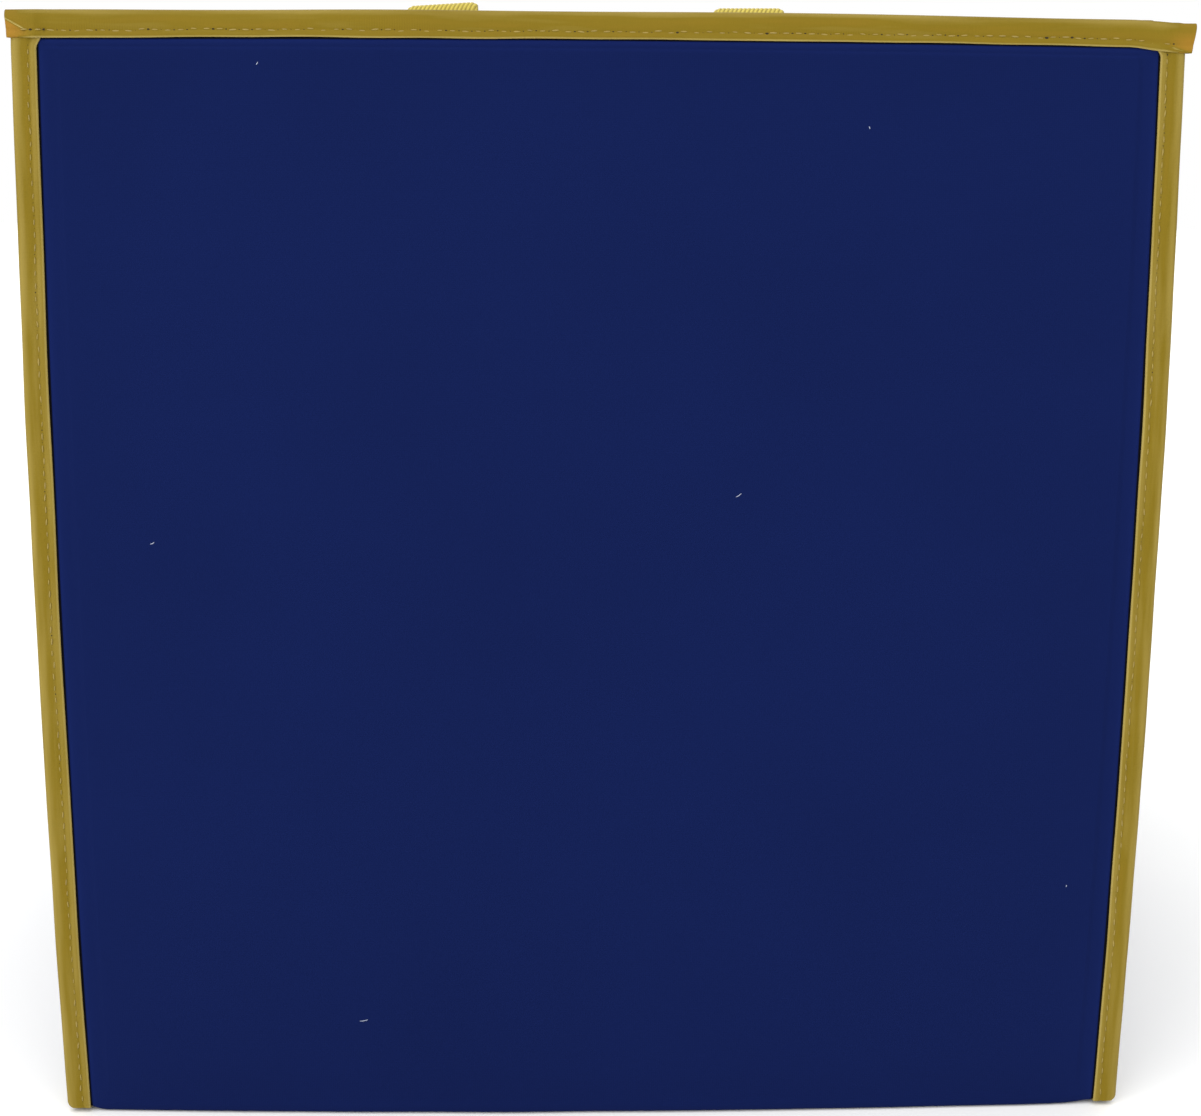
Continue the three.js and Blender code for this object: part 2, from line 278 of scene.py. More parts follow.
def skin(name, grid, thickness, material, tint=None):
    """A closed sheet whose outer face is `grid`, rows by columns of points, with rounded edges."""
    rows, columns = grid.shape[:2]
    across = np.gradient(grid, axis=1)
    along = np.gradient(grid, axis=0)
    inner = grid - unit(np.cross(across, along)) * thickness
    count = rows * columns
    index = np.arange(count).reshape(rows, columns)
    quads = np.stack([index[:-1, :-1], index[:-1, 1:], index[1:, 1:], index[1:, :-1]], -1).reshape(-1, 4)
    faces = quads.tolist() + (quads[:, ::-1] + count).tolist()
    loop = np.concatenate([index[0, :-1], index[:-1, -1], index[-1, :0:-1], index[:0:-1, 0]])
    flat, flat_inner = grid.reshape(-1, 3), inner.reshape(-1, 3)
    towards = np.zeros_like(grid)
    towards[0] -= unit(along[0])
    towards[-1] += unit(along[-1])
    towards[:, 0] -= unit(across[:, 0])
    towards[:, -1] += unit(across[:, -1])
    edge = (flat[loop] + flat_inner[loop]) / 2 + unit(towards.reshape(-1, 3)[loop]) * thickness * 0.4
    ring = np.arange(len(loop)) + 2 * count
    for i in range(len(loop)):
        j = (i + 1) % len(loop)
        faces.append([loop[j], loop[i], ring[i], ring[j]])
        faces.append([ring[j], ring[i], loop[i] + count, loop[j] + count])
    vertices = np.concatenate([flat, flat_inner, edge])
    u = np.tile(path_length(grid[rows // 2]), (rows, 1))
    v = np.tile(path_length(grid[:, columns // 2])[:, None], (1, columns))
    one = np.stack([u, v], -1).reshape(-1, 2)
    uv = np.concatenate([one, one, one[loop]])
    if tint is not None:
        tint = np.concatenate([tint.ravel(), tint.ravel(), tint.ravel()[loop]])
    return make_mesh(name, vertices, faces, material, uv=uv, sharp=70.0, tint=tint)


def unit(vectors):
    """The same vectors, one long."""
    return vectors / np.maximum(np.linalg.norm(vectors, axis=-1, keepdims=True), 1e-9)


def loft(name, rings, material, tint=None, sharp=55.0):
    """A closed solid through rings, stations by points, with flat ends."""
    stations, points = rings.shape[:2]
    index = np.arange(stations * points).reshape(stations, points)
    after = np.roll(index, -1, axis=1)
    quads = np.stack([index[:-1], after[:-1], after[1:], index[1:]], -1).reshape(-1, 4)
    faces = quads.tolist() + [index[0, ::-1].tolist(), index[-1].tolist()]
    u = np.tile(path_length(rings.mean(axis=1))[:, None], (1, points))
    v = np.tile(path_length(rings[stations // 2]), (stations, 1))
    uv = np.stack([u, v], -1).reshape(-1, 2)
    return make_mesh(name, rings.reshape(-1, 3), faces, material, uv=uv, sharp=sharp, tint=tint)


def finish_piece(piece, body, slot, *nodes):
    """Names the body a piece rides on and the CAD nodes it stands for. Its material `slot` is not used."""
    if body:
        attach(piece, body)
    if nodes:
        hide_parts(*nodes)
    return piece


# --- Materials ---


def add_node(tree, kind, inputs=None, **settings):
    """Adds a node, sets it up and links or fills its inputs by name or number."""
    node = tree.nodes.new(kind)
    for key, value in settings.items():
        setattr(node, key, value)
    for key, value in (inputs or {}).items():
        socket = node.inputs[key]
        if isinstance(value, bpy.types.NodeSocket):
            tree.links.new(value, socket)
        else:
            socket.default_value = value
    return node


def new_material(name, base, roughness, sheen=0.0, specular=0.5):
    """A material with one shader, whose plain numbers stand on its own sockets, and its coordinates."""
    material = bpy.data.materials.new(name)
    material.use_nodes = True
    tree = material.node_tree
    tree.nodes.clear()
    gloss = {"Roughness": roughness, "Specular IOR Level": specular, "IOR": 1.5}
    nap = {"Sheen Weight": sheen, "Sheen Roughness": 0.5}
    shader = add_node(tree, "ShaderNodeBsdfPrincipled", {"Base Color": (*base, 1), **gloss, **nap})
    add_node(tree, "ShaderNodeOutputMaterial", {"Surface": shader.outputs["BSDF"]})
    return material, tree, shader, add_node(tree, "ShaderNodeTexCoord").outputs


def drifting_colour(tree, place, base, scale, amount):
    """The base colour, a little lighter and darker from place to place on the piece."""
    noise = add_node(tree, "ShaderNodeTexNoise", {"Vector": place["Object"], "Scale": scale, "Detail": 4.0})
    levels = {"From Min": 0.25, "From Max": 0.75, "To Min": 1 - amount, "To Max": 1 + amount}
    spread = add_node(tree, "ShaderNodeMapRange", {"Value": noise.outputs["Fac"], **levels})
    grey = add_node(tree, "ShaderNodeCombineColor", {i: spread.outputs[0] for i in range(3)})
    inputs = {"Factor": 1.0, "A": (*base, 1), "B": grey.outputs[0]}
    mixed = add_node(tree, "ShaderNodeMix", inputs, data_type="RGBA", blend_type="MULTIPLY")
    return mixed.outputs["Result"]


WAVE_RATE = 20.0  # radians that a Wave Texture of scale 1 turns through in a metre


def thread_bands(tree, coordinate, pitch_mm, direction):
    """Rounded parallel threads: 1 along each thread's crest and 0 between threads."""
    scale = 2 * math.pi * TO_MM / pitch_mm / WAVE_RATE
    inputs = {"Vector": coordinate, "Scale": scale, "Distortion": 0.6, "Detail": 1.0}
    settings = {"wave_type": "BANDS", "bands_direction": direction, "wave_profile": "SIN"}
    return add_node(tree, "ShaderNodeTexWave", inputs, **settings).outputs["Fac"]


def weave_height(tree, coordinate, pitch_mm):
    """A plain weave: warp shows over the weft and the weft over the warp in a chequer."""
    warp, weft = (thread_bands(tree, coordinate, pitch_mm, direction) for direction in "XY")
    chequer = add_node(tree, "ShaderNodeTexChecker", {"Vector": coordinate, "Scale": TO_MM / pitch_mm})
    inputs = {"Factor": chequer.outputs["Fac"], "A": warp, "B": weft}
    return add_node(tree, "ShaderNodeMix", inputs, data_type="FLOAT").outputs["Result"]


def set_colour(tree, shader, colour, amount=None, shades=()):
    """Sets the base colour, turned to the first shade where `amount` is above 0, to the second below 0."""
    for sign, shade in zip((1.0, -1.0), shades):
        share = add_node(tree, "ShaderNodeMath", {0: amount, 1: sign}, operation="MULTIPLY", use_clamp=True)
        inputs = {"Factor": share.outputs[0], "A": colour, "B": (*shade, 1)}
        colour = add_node(tree, "ShaderNodeMix", inputs, data_type="RGBA").outputs["Result"]
    tree.links.new(colour, shader.inputs["Base Color"])


def bump(tree, shader, height, distance_mm, strength):
    """Raises the shader's surface by a height, to `distance_mm` where it is 1."""
    inputs = {"Height": height, "Distance": distance_mm * TO_METRES, "Strength": strength}
    tree.links.new(add_node(tree, "ShaderNodeBump", inputs).outputs["Normal"], shader.inputs["Normal"])


def add_fuzz(tree, coordinate, scale, detail, weight, height):
    """Fine noise laid over a height."""
    fuzz = add_node(tree, "ShaderNodeTexNoise", {"Vector": coordinate, "Scale": scale, "Detail": detail})
    inputs = {0: fuzz.outputs["Fac"], 1: weight, 2: height}
    return add_node(tree, "ShaderNodeMath", inputs, operation="MULTIPLY_ADD").outputs[0]


def polyester_cloth(name, base, crease, painted_light):
    """Plain-woven polyester: matt and evenly dyed, with a fine soft nap.

    Real threads are about 0.35 mm apart. They are drawn 0.6 mm apart so that the weave shows. The
    `tint` attribute is 1 for painted shadow in the crease where the cloth goes under the tape, and below 0
    for painted light on the cloth beside the seams.
    """
    material, tree, shader, place = new_material(name, base, 0.9, specular=0.06)
    weave = weave_height(tree, place["UV"], 0.6)
    bump(tree, shader, add_fuzz(tree, place["UV"], 2400.0, 2.0, 0.5, weave), 0.05, 0.35)
    tint = add_node(tree, "ShaderNodeAttribute", attribute_name="tint")
    varied = drifting_colour(tree, place, base, 14.0, 0.05)
    set_colour(tree, shader, varied, tint.outputs["Fac"], (crease, painted_light))
    return material


def binding_tape(base, worn, pale):
    """Folded polyester binding: smooth and slightly satin, with fine ribs across and faint streaks along.

    The `tint` attribute is 0 on plain tape and 1 where folded layers look warm. It goes down to -1 where the
    tape is pale: on the corners' folds, as painted highlight along the tape's lip and folded top, and on the
    upright tapes, painted a little lighter for the light.
    """
    material, tree, shader, place = new_material("Polyester binding tape", base, 0.6, specular=0.12)
    ribs = thread_bands(tree, place["UV"], 0.7, "X")
    bump(tree, shader, add_fuzz(tree, place["UV"], 1500.0, 3.0, 0.8, ribs), 0.03, 0.5)
    along = add_node(tree, "ShaderNodeMapping", {"Vector": place["UV"], "Scale": (30.0, 420.0, 1.0)})
    streaks = add_node(tree, "ShaderNodeTexNoise", {"Vector": along.outputs[0], "Scale": 1.0, "Detail": 2.0})
    levels = {"From Min": 0.35, "From Max": 0.75, "To Min": -0.03, "To Max": 0.09}
    streak = add_node(tree, "ShaderNodeMapRange", {"Value": streaks.outputs["Fac"], **levels})
    tint = add_node(tree, "ShaderNodeAttribute", attribute_name="tint")
    both = add_node(tree, "ShaderNodeMath", {0: tint.outputs["Fac"], 1: streak.outputs[0]}, operation="ADD")
    varied = drifting_colour(tree, place, base, 30.0, 0.03)
    set_colour(tree, shader, varied, both.outputs[0], (worn, pale))
    return material


def sewing_thread(name, base, roughness):
    """Spun polyester thread: a soft sheen over two twisted plies."""
    material, tree, shader, place = new_material(name, base, roughness, sheen=0.2, specular=0.3)
    plies = add_node(tree, "ShaderNodeTexNoise", {"Vector": place["Object"], "Scale": 3000.0, "Detail": 2.0})
    bump(tree, shader, plies.outputs["Fac"], 0.05, 0.4)
    set_colour(tree, shader, drifting_colour(tree, place, base, 160.0, 0.12))
    return material


def woven_webbing(base, between):
    """Polypropylene webbing: bright and a little glossy, with painted shade between its ribs.

    The ribs are in the mesh, and the `tint` attribute is 1 between them, where the shade is painted. This
    adds the yarns.
    """
    material, tree, shader, place = new_material("Polypropylene webbing", base, 0.55, 0.02, 0.25)
    bump(tree, shader, weave_height(tree, place["UV"], 0.45), 0.08, 0.6)
    tint = add_node(tree, "ShaderNodeAttribute", attribute_name="tint")
    varied = drifting_colour(tree, place, base, 90.0, 0.06)
    set_colour(tree, shader, varied, tint.outputs["Fac"], (between,))
    return material


def grey_board(base):
    """Uncoated grey board: matt, with short fibres pressed into it."""
    material, tree, shader, place = new_material("Uncoated grey board", base, 0.95, specular=0.2)
    stretch = add_node(tree, "ShaderNodeMapping", {"Vector": place["Object"], "Scale": (1.0, 1.0, 0.3)})
    inputs = {"Vector": stretch.outputs[0], "Scale": 700.0, "Detail": 5.0}
    bump(tree, shader, add_node(tree, "ShaderNodeTexNoise", inputs).outputs["Fac"], 0.06, 0.5)
    set_colour(tree, shader, drifting_colour(tree, place, base, 220.0, 0.12))
    return material


def studio_floor(base):
    """Matt painted sweep: even, with hardly any gloss."""
    material, tree, shader, place = new_material("Matt studio floor", base, 0.9, specular=0.1)
    set_colour(tree, shader, drifting_colour(tree, place, base, 3.0, 0.01))
    return material


MATERIALS = {}


def made_of(kind):
    """A finished material, or an error if the stage hasn't made it yet."""
    if kind not in MATERIALS:
        raise RuntimeError("Run Stage and Materials first")
    return MATERIALS[kind]


def make_materials(colours):
    """Every material of the bin, by kind."""
    # The first colour is painted shadow in the crease under the tapes' edges. The second is painted light on
    # the cloth beside the seams.
    crease, painted_light = linear("#0d0b0b"), linear("#162562")
    MATERIALS["cloth"] = polyester_cloth("Navy polyester cloth", colours.cloth, crease, painted_light)
    MATERIALS["lining"] = polyester_cloth("Navy polyester lining", colours.lining, crease, painted_light)
    # The pale colour paints the tape's highlights and its lighter upright tapes, and the pale lines of its
    # corner folds.
    MATERIALS["tape"] = binding_tape(colours.tape, linear("#a8762a"), linear("#d6c27a"))
    MATERIALS["thread"] = sewing_thread("Pale polyester thread", colours.thread, 0.5)
    MATERIALS["needle_hole"] = sewing_thread("Shaded needle hole", colours.needle_hole, 0.9)
    # The second colour is painted shade between the webbing's ribs.
    MATERIALS["webbing"] = woven_webbing(colours.webbing, linear("#6f5c18"))
    MATERIALS["board"] = grey_board(colours.board)
    MATERIALS["lint"] = sewing_thread("Pale lint", colours.lint, 0.9)


# --- Cloth ---

KNUCKLE = 4.3  # radius of the cloth rolled round a corner hinge, which hides the gap as the bin folds
KNUCKLE_TURN = math.radians(108)
BOARD_SIDE = 152.5  # from the middle of the front or back wall to where its board shows
BOARD_FOOT = 9.0  # from the floor to where it shows
BOARD_STEP = 0.42
FOOT_LIFT = 0.9  # how far the facing cloth's foot rises at its two ends
TURNED_EDGE = 0.85  # thickness of a side panel's turned-out edge
RIPPLE_SEEDS = {
    "facing cloth": 3,
    "side cloth": 11,
    "gusset": 21,
    "base": 31,
    "facing lining": 41,
    "side lining": 51,
}
SEAM_PULL = 0.3  # how far the seams pull the cloth in beside the tape


def spaced(start, *stops):
    """Stations from `start` to each stop in turn, a stop being its end and about the step to it."""
    parts = [np.array([float(start)])]
    for end, step in stops:
        count = max(1, int(round(abs(end - start) / step)))
        parts.append(np.linspace(start, end, count + 1)[1:])
        start = end
    return np.concatenate(parts)


def below_rim(m, z):
    """1 on the panel and 0 near its top edge, which the rim tape holds flat."""
    return smooth(m.height - 7, m.height - 12, z)


def board_print(m, s, z):
    """How the front or back board's edges print through the cloth: a faint step inside its outline."""
    inside = smooth(BOARD_SIDE + 0.5, BOARD_SIDE - 0.5, np.abs(s))
    inside = inside * smooth(m.board_top + 0.3, m.board_top - 0.3, z)
    return BOARD_STEP * inside * smooth(BOARD_FOOT - 0.6, BOARD_FOOT + 0.6, z)


def facing_relief(m, wall, s, z):
    """How far the front or back cloth stands out: ripples, the board's print and the seams' pull."""
    inner = smooth(m.face, m.face - 6, np.abs(s)) * below_rim(m, z)
    printed = smooth(m.face + 1, m.face - 2, np.abs(s)) * smooth(m.height - 6, m.height - 8, z)
    beside = smooth(m.face - 1.2, m.face - 0.2, np.abs(s))
    pulled = np.maximum(beside, smooth(m.tape_foot - 0.9, m.tape_foot, z))
    relief = inner * (0.1 + ripple(s, z, RIPPLE_SEEDS["facing cloth"] + QUARTER_TURNS[wall]))
    return relief + printed * board_print(m, s, z) - SEAM_PULL * pulled


# Strengths and reaches, in millimetres, of the painted light on the cloth beside the tapes, and the
# strength, place and width of a second faint painted highlight line under the rim tape, where the board's
# top edge catches the light.
PALE_SIDE = ((0.6, 0.5), (0.12, 3.5))
PALE_RIM = (1.1, 0.6)
SECOND_LINE = (0.13, 2.3, 0.5)


def seam_shade(m, s, z):
    """Painted shadow in the crease beside the tape, and painted light on the cloth next to it."""
    # Painted shadow: near black where the cloth goes under the tape's edge.
    beside = smooth(m.face - 0.65, m.face - 0.35, np.abs(s))
    dark = np.maximum(beside, smooth(m.tape_foot - 0.3, m.tape_foot, z))
    # Painted light: paler cloth fading away from the tapes, and a faint painted highlight line where the
    # board's top edge catches the light.
    from_side = np.maximum(m.face - 0.5 - np.abs(s), 0)
    from_rim = np.maximum(m.tape_foot - 0.15 - z, 0)
    pale_side = sum(strength * np.exp(-from_side / reach) for strength, reach in PALE_SIDE)
    strength, reach = PALE_RIM
    faint, below, width = SECOND_LINE
    pale_rim = strength * np.exp(-from_rim / reach) + faint * np.exp(-(((from_rim - below) / width) ** 2))
    pale = np.clip(np.maximum(pale_side, pale_rim), 0, 1)
    return dark - pale * (1 - dark)


def facing_cloth(m, wall):
    """Outer cloth of the front or back wall, up from its rounded foot, and its painted shade and light
    beside the tape.
    """
    edge = spaced(m.face - 9, (m.face - 1.2, 0.8), (m.face + 0.3, 0.15), (m.flange - 1, 1.0))
    s = np.r_[-edge[:0:-1], spaced(-edge[0], (edge[0], 4.0)), edge[1:]]
    roll = np.radians(np.linspace(-8, 90, 25))
    square = np.sign(roll) * np.abs(np.sin(roll)) ** 0.3, np.cos(roll) ** 0.3
    low = m.rise - (m.rise - 0.08) * square[1]
    upper = spaced(m.rise, (m.board_top - 4, 5.0), (m.height - 1, 0.2))[1:]
    depth = np.r_[m.hinge + (m.face - m.hinge) * square[0], np.full(len(upper), m.face)]
    z = np.r_[low, upper]
    s, z = np.meshgrid(s, z)
    depth = np.tile(depth[:, None], (1, s.shape[1]))
    lifted = np.where(s < 0, smooth(m.face - 6, m.face, -s), smooth(m.face - 15, m.face, s))
    z = z + FOOT_LIFT * lifted**2 * smooth(9, 3, z)
    depth = depth + facing_relief(m, wall, s, z)
    return placed(m, wall, s, depth, z), seam_shade(m, s, z)


SHEET_SLOTS = {"cloth": "navy cloth", "lining": "lining"}
BASE_HALVES = ((-1, "base_front"), (1, "base_rear"))


def base_half(body):
    """The half of the base that half a side wall stands on."""
    return "base_front" if body.endswith("front") else "base_rear"


def seam_name(wall, side):
    """Which side of the bin an end of the front or back wall is on: `side` is -1 or 1 along the wall."""
    return "right" if (wall == "front") == (side > 0) else "left"


def side_columns(m, sign, face, knuckle):
    """Along a half side wall from its crease to the roll round its corner hinge, as s and d."""
    s = np.r_[0.15, 0.6, 1.5, 3.0, spaced(6.0, (m.side_end - 7, 4.0))]
    d = face - np.r_[0.9, 0.35, np.zeros(len(s) - 2)]
    if knuckle:
        ease = np.linspace(0, 1, 6)[1:]
        turn = np.linspace(0, KNUCKLE_TURN, 12)[1:]
        s = np.r_[s, m.side_end - 7 + 7.6 * ease, m.hinge + KNUCKLE * np.sin(turn)]
        eased = face + (m.hinge + KNUCKLE - face) * smooth(0, 1, ease)
        d = np.r_[d, eased, m.hinge + KNUCKLE * np.cos(turn)]
    else:
        s = np.r_[s, spaced(m.side_end - 6, (m.side_end + 0.4, 1.0))]
        d = np.r_[d, np.full(len(s) - len(d), face)]
    return (s * sign)[::sign], d[::sign]


def side_foot(m, s):
    """Height of a half side wall's slanted foot."""
    along = np.minimum(np.abs(s), m.side_end)
    return m.rise + m.gusset_margin + m.tape_in - along


def side_cloth(m, wall, sign, face, knuckle, inward, seed):
    """Outer cloth or lining of half a side wall."""
    s, d = side_columns(m, sign, face, knuckle)
    share = np.r_[0, 0.004, 0.012, np.linspace(0.03, 0.985, 58), 0.992, 1][:, None]
    foot = side_foot(m, s)
    z = foot + share * (m.height - 1 - foot)
    s, d = (np.tile(line, (len(share), 1)) for line in (s, d))
    tuck = smooth(2.5, 0.0, z - foot)
    free = smooth(m.side_end - 2, m.side_end - 12, np.abs(s)) * below_rim(m, z)
    d = d + inward * (ripple(s, z, seed) * free - 0.7 * tuck)
    return placed(m, wall, s, d, z)[:, ::inward]


def gusset_sheet(m, wall, face, inward, foot, turned_out):
    """The soft triangle at a side wall's foot, with its lower edge turned out into the base's tape."""
    end = m.side_end + 0.4
    s = np.r_[spaced(-end, (-3, 4.0)), -1.2, 0, 1.2, spaced(3, (end, 4.0))]
    top = side_foot(m, s) + inward
    share = np.r_[np.linspace(0, 0.08, 8), np.linspace(0.1, 0.99, 36), 1.0][:, None]
    z = foot + share * (top - foot)
    s = np.tile(s, (len(share), 1))
    d = face - inward * 0.9 * smooth(4.0, 0.0, top - inward - z) + turned_out * smooth(5.0, 0.5, z)
    sag = smooth(0, 30, z) * smooth(0, 25, top - z)
    seed = RIPPLE_SEEDS["gusset"] + QUARTER_TURNS[wall]
    d = d + (0.3 + ripple(s, z, seed, size=0.45, shortest=90, longest=260)) * sag
    return placed(m, wall, s, d, z)[:, ::inward]


def base_rows(m, sign, low, curl):
    """From the base's crease to the roll under its hinge, as y and z."""
    y = np.r_[0.15, 0.6, 1.6, spaced(4.0, (m.side_end - 7, 5.0))]
    z = low + np.r_[0.5, 0.15, np.zeros(len(y) - 2)]
    if curl:
        ease = np.linspace(0, 1, 6)[1:]
        turn = np.radians(np.linspace(0, 30, 5)[1:])
        y = np.r_[y, m.side_end - 7 + 7.6 * ease, m.hinge + KNUCKLE * np.sin(turn)]
        eased = low + (m.rise - KNUCKLE - low) * smooth(0, 1, ease)
        z = np.r_[z, eased, m.rise - KNUCKLE * np.cos(turn)]
    else:
        y = np.r_[y, spaced(m.side_end - 5, (m.side_end + 0.3, 1.5))]
        z = np.r_[z, np.full(len(y) - len(z), low)]
    return y * sign, z


def base_sheet(m, sign, low, half_width, curl, up):
    """Cloth or lining of half the base. `up` is 1 where its outer face looks up, -1 where it looks down."""
    y, z = base_rows(m, sign, low, curl)
    x = spaced(-half_width, (12 - half_width, 2.0), (half_width - 12, 6.0), (half_width, 2.0))
    x, y = np.meshgrid(x, y)
    z = np.tile(z[:, None], (1, x.shape[1]))
    free = smooth(half_width, half_width - 14, np.abs(x)) * (up > 0)
    z = z - 0.1 + ripple(x, y, RIPPLE_SEEDS["base"] + sign, 0.08) * free
    return np.stack([x, y, z], -1)[:: sign * up]


def declare_sheet(piece):
    """Works out the rectangle round a piece and its own area, and does nothing with them.

    The area is half the surface of the closed sheet.
    """
    corners = np.array(piece.bound_box)
    width, tall = sorted(corners.max(0) - corners.min(0))[1:]
    area = sum(face.area for face in piece.data.polygons) / 2
    tall = max(tall, area / width)


def add_sheet(m, name, grid, kind, body, panel=None, tint=None):
    """Adds the cloth or lining that is stretched over a panel's board. The panel is often the whole body."""
    panel = panel or body
    piece = skin(name, grid, getattr(m, kind), made_of(kind), tint=tint)
    finish_piece(piece, body, SHEET_SLOTS[kind], f"{panel}_{kind}")
    declare_sheet(piece)


class BIN_OT_outer_cloth(bpy.types.Operator):
    """Makes the navy cloth on the outside of the four walls and under the base"""

    bl_idname = "bin.outer_cloth"
    bl_label = "Outer Cloth"

    def execute(self, context):
        m = Measures(context)
        for wall in ("front", "back"):
            grid, shade = facing_cloth(m, wall)
            add_sheet(m, f"{wall}_cloth", grid, "cloth", wall, f"{wall}_wall", tint=shade)
            for side in (-1, 1):
                self.turned_edge(m, wall, side)
        for (wall, sign), body in SIDE_HALVES.items():
            seed = RIPPLE_SEEDS["side cloth"] + sign
            grid = side_cloth(m, wall, sign, m.face, True, 1, seed)
            add_sheet(m, f"{body}_outer_cloth", grid, "cloth", body)
        for sign, body in BASE_HALVES:
            grid = base_sheet(m, sign, 0.12, m.tape_in - 0.2, True, -1)
            add_sheet(m, f"{body}_outer_cloth", grid, "cloth", body)
        return {"FINISHED"}

    def turned_edge(self, m, wall, side):
        """The side panel's edge, turned out behind the facing cloth and caught in the seam."""
        name = f"{wall}_{seam_name(wall, side)}_turned_edge"
        s = np.linspace(m.face - 0.6, m.flange - 1.1, 6) * side
        s, z = np.meshgrid(s[::side], spaced(3.5, (m.tape_foot, 8.0)))
        depth = m.face - m.cloth - 0.8 - 1.2 * smooth(m.face + 1.2, m.face - 0.6, np.abs(s))
        piece = skin(f"{name}_cloth", placed(m, wall, s, depth, z), TURNED_EDGE, made_of("cloth"))
        finish_piece(piece, wall, "navy cloth", name)


class BIN_OT_lining(bpy.types.Operator):
    """Makes the lining inside the four walls and over the base"""

    bl_idname = "bin.lining"
    bl_label = "Lining"

    def execute(self, context):
        m = Measures(context)
        for wall in ("front", "back"):
            s = spaced(-m.lining_face, (m.lining_face, 5.0))
            s, z = np.meshgrid(s, spaced(m.rise, (m.height - 1, 5.0)))
            fade = smooth(m.lining_face, m.lining_face - 10, np.abs(s)) * below_rim(m, z)
            seed = RIPPLE_SEEDS["facing lining"] + QUARTER_TURNS[wall]
            d = m.lining_face - ripple(s, z, seed, 0.2) * fade
            grid = placed(m, wall, s, d, z)[:, ::-1]
            add_sheet(m, f"{wall}_lining", grid, "lining", wall, f"{wall}_wall")
        for (wall, sign), body in SIDE_HALVES.items():
            seed = RIPPLE_SEEDS["side lining"] + sign
            grid = side_cloth(m, wall, sign, m.lining_face, False, -1, seed)
            add_sheet(m, f"{body}_inner_lining", grid, "lining", body)
        for sign, body in BASE_HALVES:
            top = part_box(f"{body}_lining")[HIGH].z * TO_MM
            grid = base_sheet(m, sign, top, m.tape_in - 0.2, False, 1)
            add_sheet(m, f"{body}_inner_lining", grid, "lining", body)
        return {"FINISHED"}


class BIN_OT_gussets(bpy.types.Operator):
    """Makes the soft triangles at the feet of the side walls, outer cloth and lining"""

    bl_idname = "bin.gussets"
    bl_label = "Gussets"

    def execute(self, context):
        m = Measures(context)
        for wall in ("left", "right"):
            grid = gusset_sheet(m, wall, m.face, 1, 1.0, 2.2)
            outer = skin(f"{wall}_gusset_cloth", grid, m.cloth, made_of("cloth"))
            grid = gusset_sheet(m, wall, m.lining_face + 0.2, -1, 2.4, 2.4)
            inner = skin(f"{wall}_gusset_lining", grid, m.lining, made_of("lining"))
            finish_piece(outer, "back", "navy cloth", f"{wall}_gusset")
            finish_piece(inner, "back", "lining")
            for piece, anchor, keep in ((outer, m.hinge, 0.25), (inner, m.hinge - 6, 0.215)):
                declare_sheet(piece)
                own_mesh(piece)
        return {"FINISHED"}


class BIN_OT_boards(bpy.types.Operator):
    """Makes the boards inside the walls and the base"""

    bl_idname = "bin.boards"
    bl_label = "Boards"

    def execute(self, context):
        m = Measures(context)
        for wall in ("front", "back"):
            s, z = np.meshgrid(spaced(-148, (148, 8.0)), spaced(12, (m.board_top, 8.0)))
            self.stiffener(m, wall, s, z, wall, f"{wall}_wall")
        for (wall, sign), body in SIDE_HALVES.items():
            s = (spaced(5.3, (m.side_end - 8, 8.0)) * sign)[::sign]
            foot = side_foot(m, s) + 8
            z = foot + np.linspace(0, 1, 40)[:, None] * (m.board_top - foot)
            self.stiffener(m, wall, np.tile(s, (len(z), 1)), z, body, body)
        for _, body in BASE_HALVES:
            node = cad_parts[f"{body}_board"]
            node.data.materials.clear()
            node.data.materials.append(made_of("board"))
        return {"FINISHED"}

    def stiffener(self, m, wall, s, z, body, panel):
        """The board inside a wall or half of one, just under its cloth."""
        grid = placed(m, wall, s, m.face - m.cloth - 0.3, z)
        piece = skin(f"{body}_stiffener", grid, m.board, made_of("board"))
        finish_piece(piece, body, "board", f"{panel}_board")


# --- Binding tape ---

# Outer half of the tape's section: how far in from the tape's outermost face, and how far up from its
# edge. The dip 2.1 mm up is where the stitches pull it in, and the lip is folded under.
TAPE_LIP = (
    (0.75, 0.0),
    (0.42, 0.02),
    (0.2, 0.2),
    (0.1, 0.6),
    (0.08, 1.1),
    (0.2, 1.7),
    (0.36, 2.1),
    (0.22, 2.5),
    (0.07, 3.2),
    (0.0, 4.2),
)
STITCH_IN = 2.1  # from the tape's edge to its stitches
STITCH_DIP = 0.36  # how deep the stitches pull the tape in
SEAM_EDGE = 7.0  # from an upright seam's outer edge to its tape's stitched edge
EAR_BULGE = 0.75
DROOP_ALL, DROOP_EDGE = 0.9, 0.7  # how far the rim tape's right end hangs, and its lower edge on top
MITRE_STEP = 0.32  # how far one layer lies under the other at a corner
LEAN_LEFT, LEAN_RIGHT = 0.4, 1.3  # how far the rim tape's ends run in towards their foot
RIM_LIFT = 0.3  # how far the rim tape's lower edge rides above its nominal height
BASE_TAPE = 4.1  # thickness of the folded tape along the base
BASE_TAPE_OUT = 0.3  # from a side wall's cloth to the edge of the tape along the base
FLOOR_GAP = 0.02


def tape_depth(up):
    """How far in from its outermost face the tape's surface is, at a height above the tape's edge."""
    depths, heights = np.transpose(TAPE_LIP)
    return np.interp(up, heights, depths)


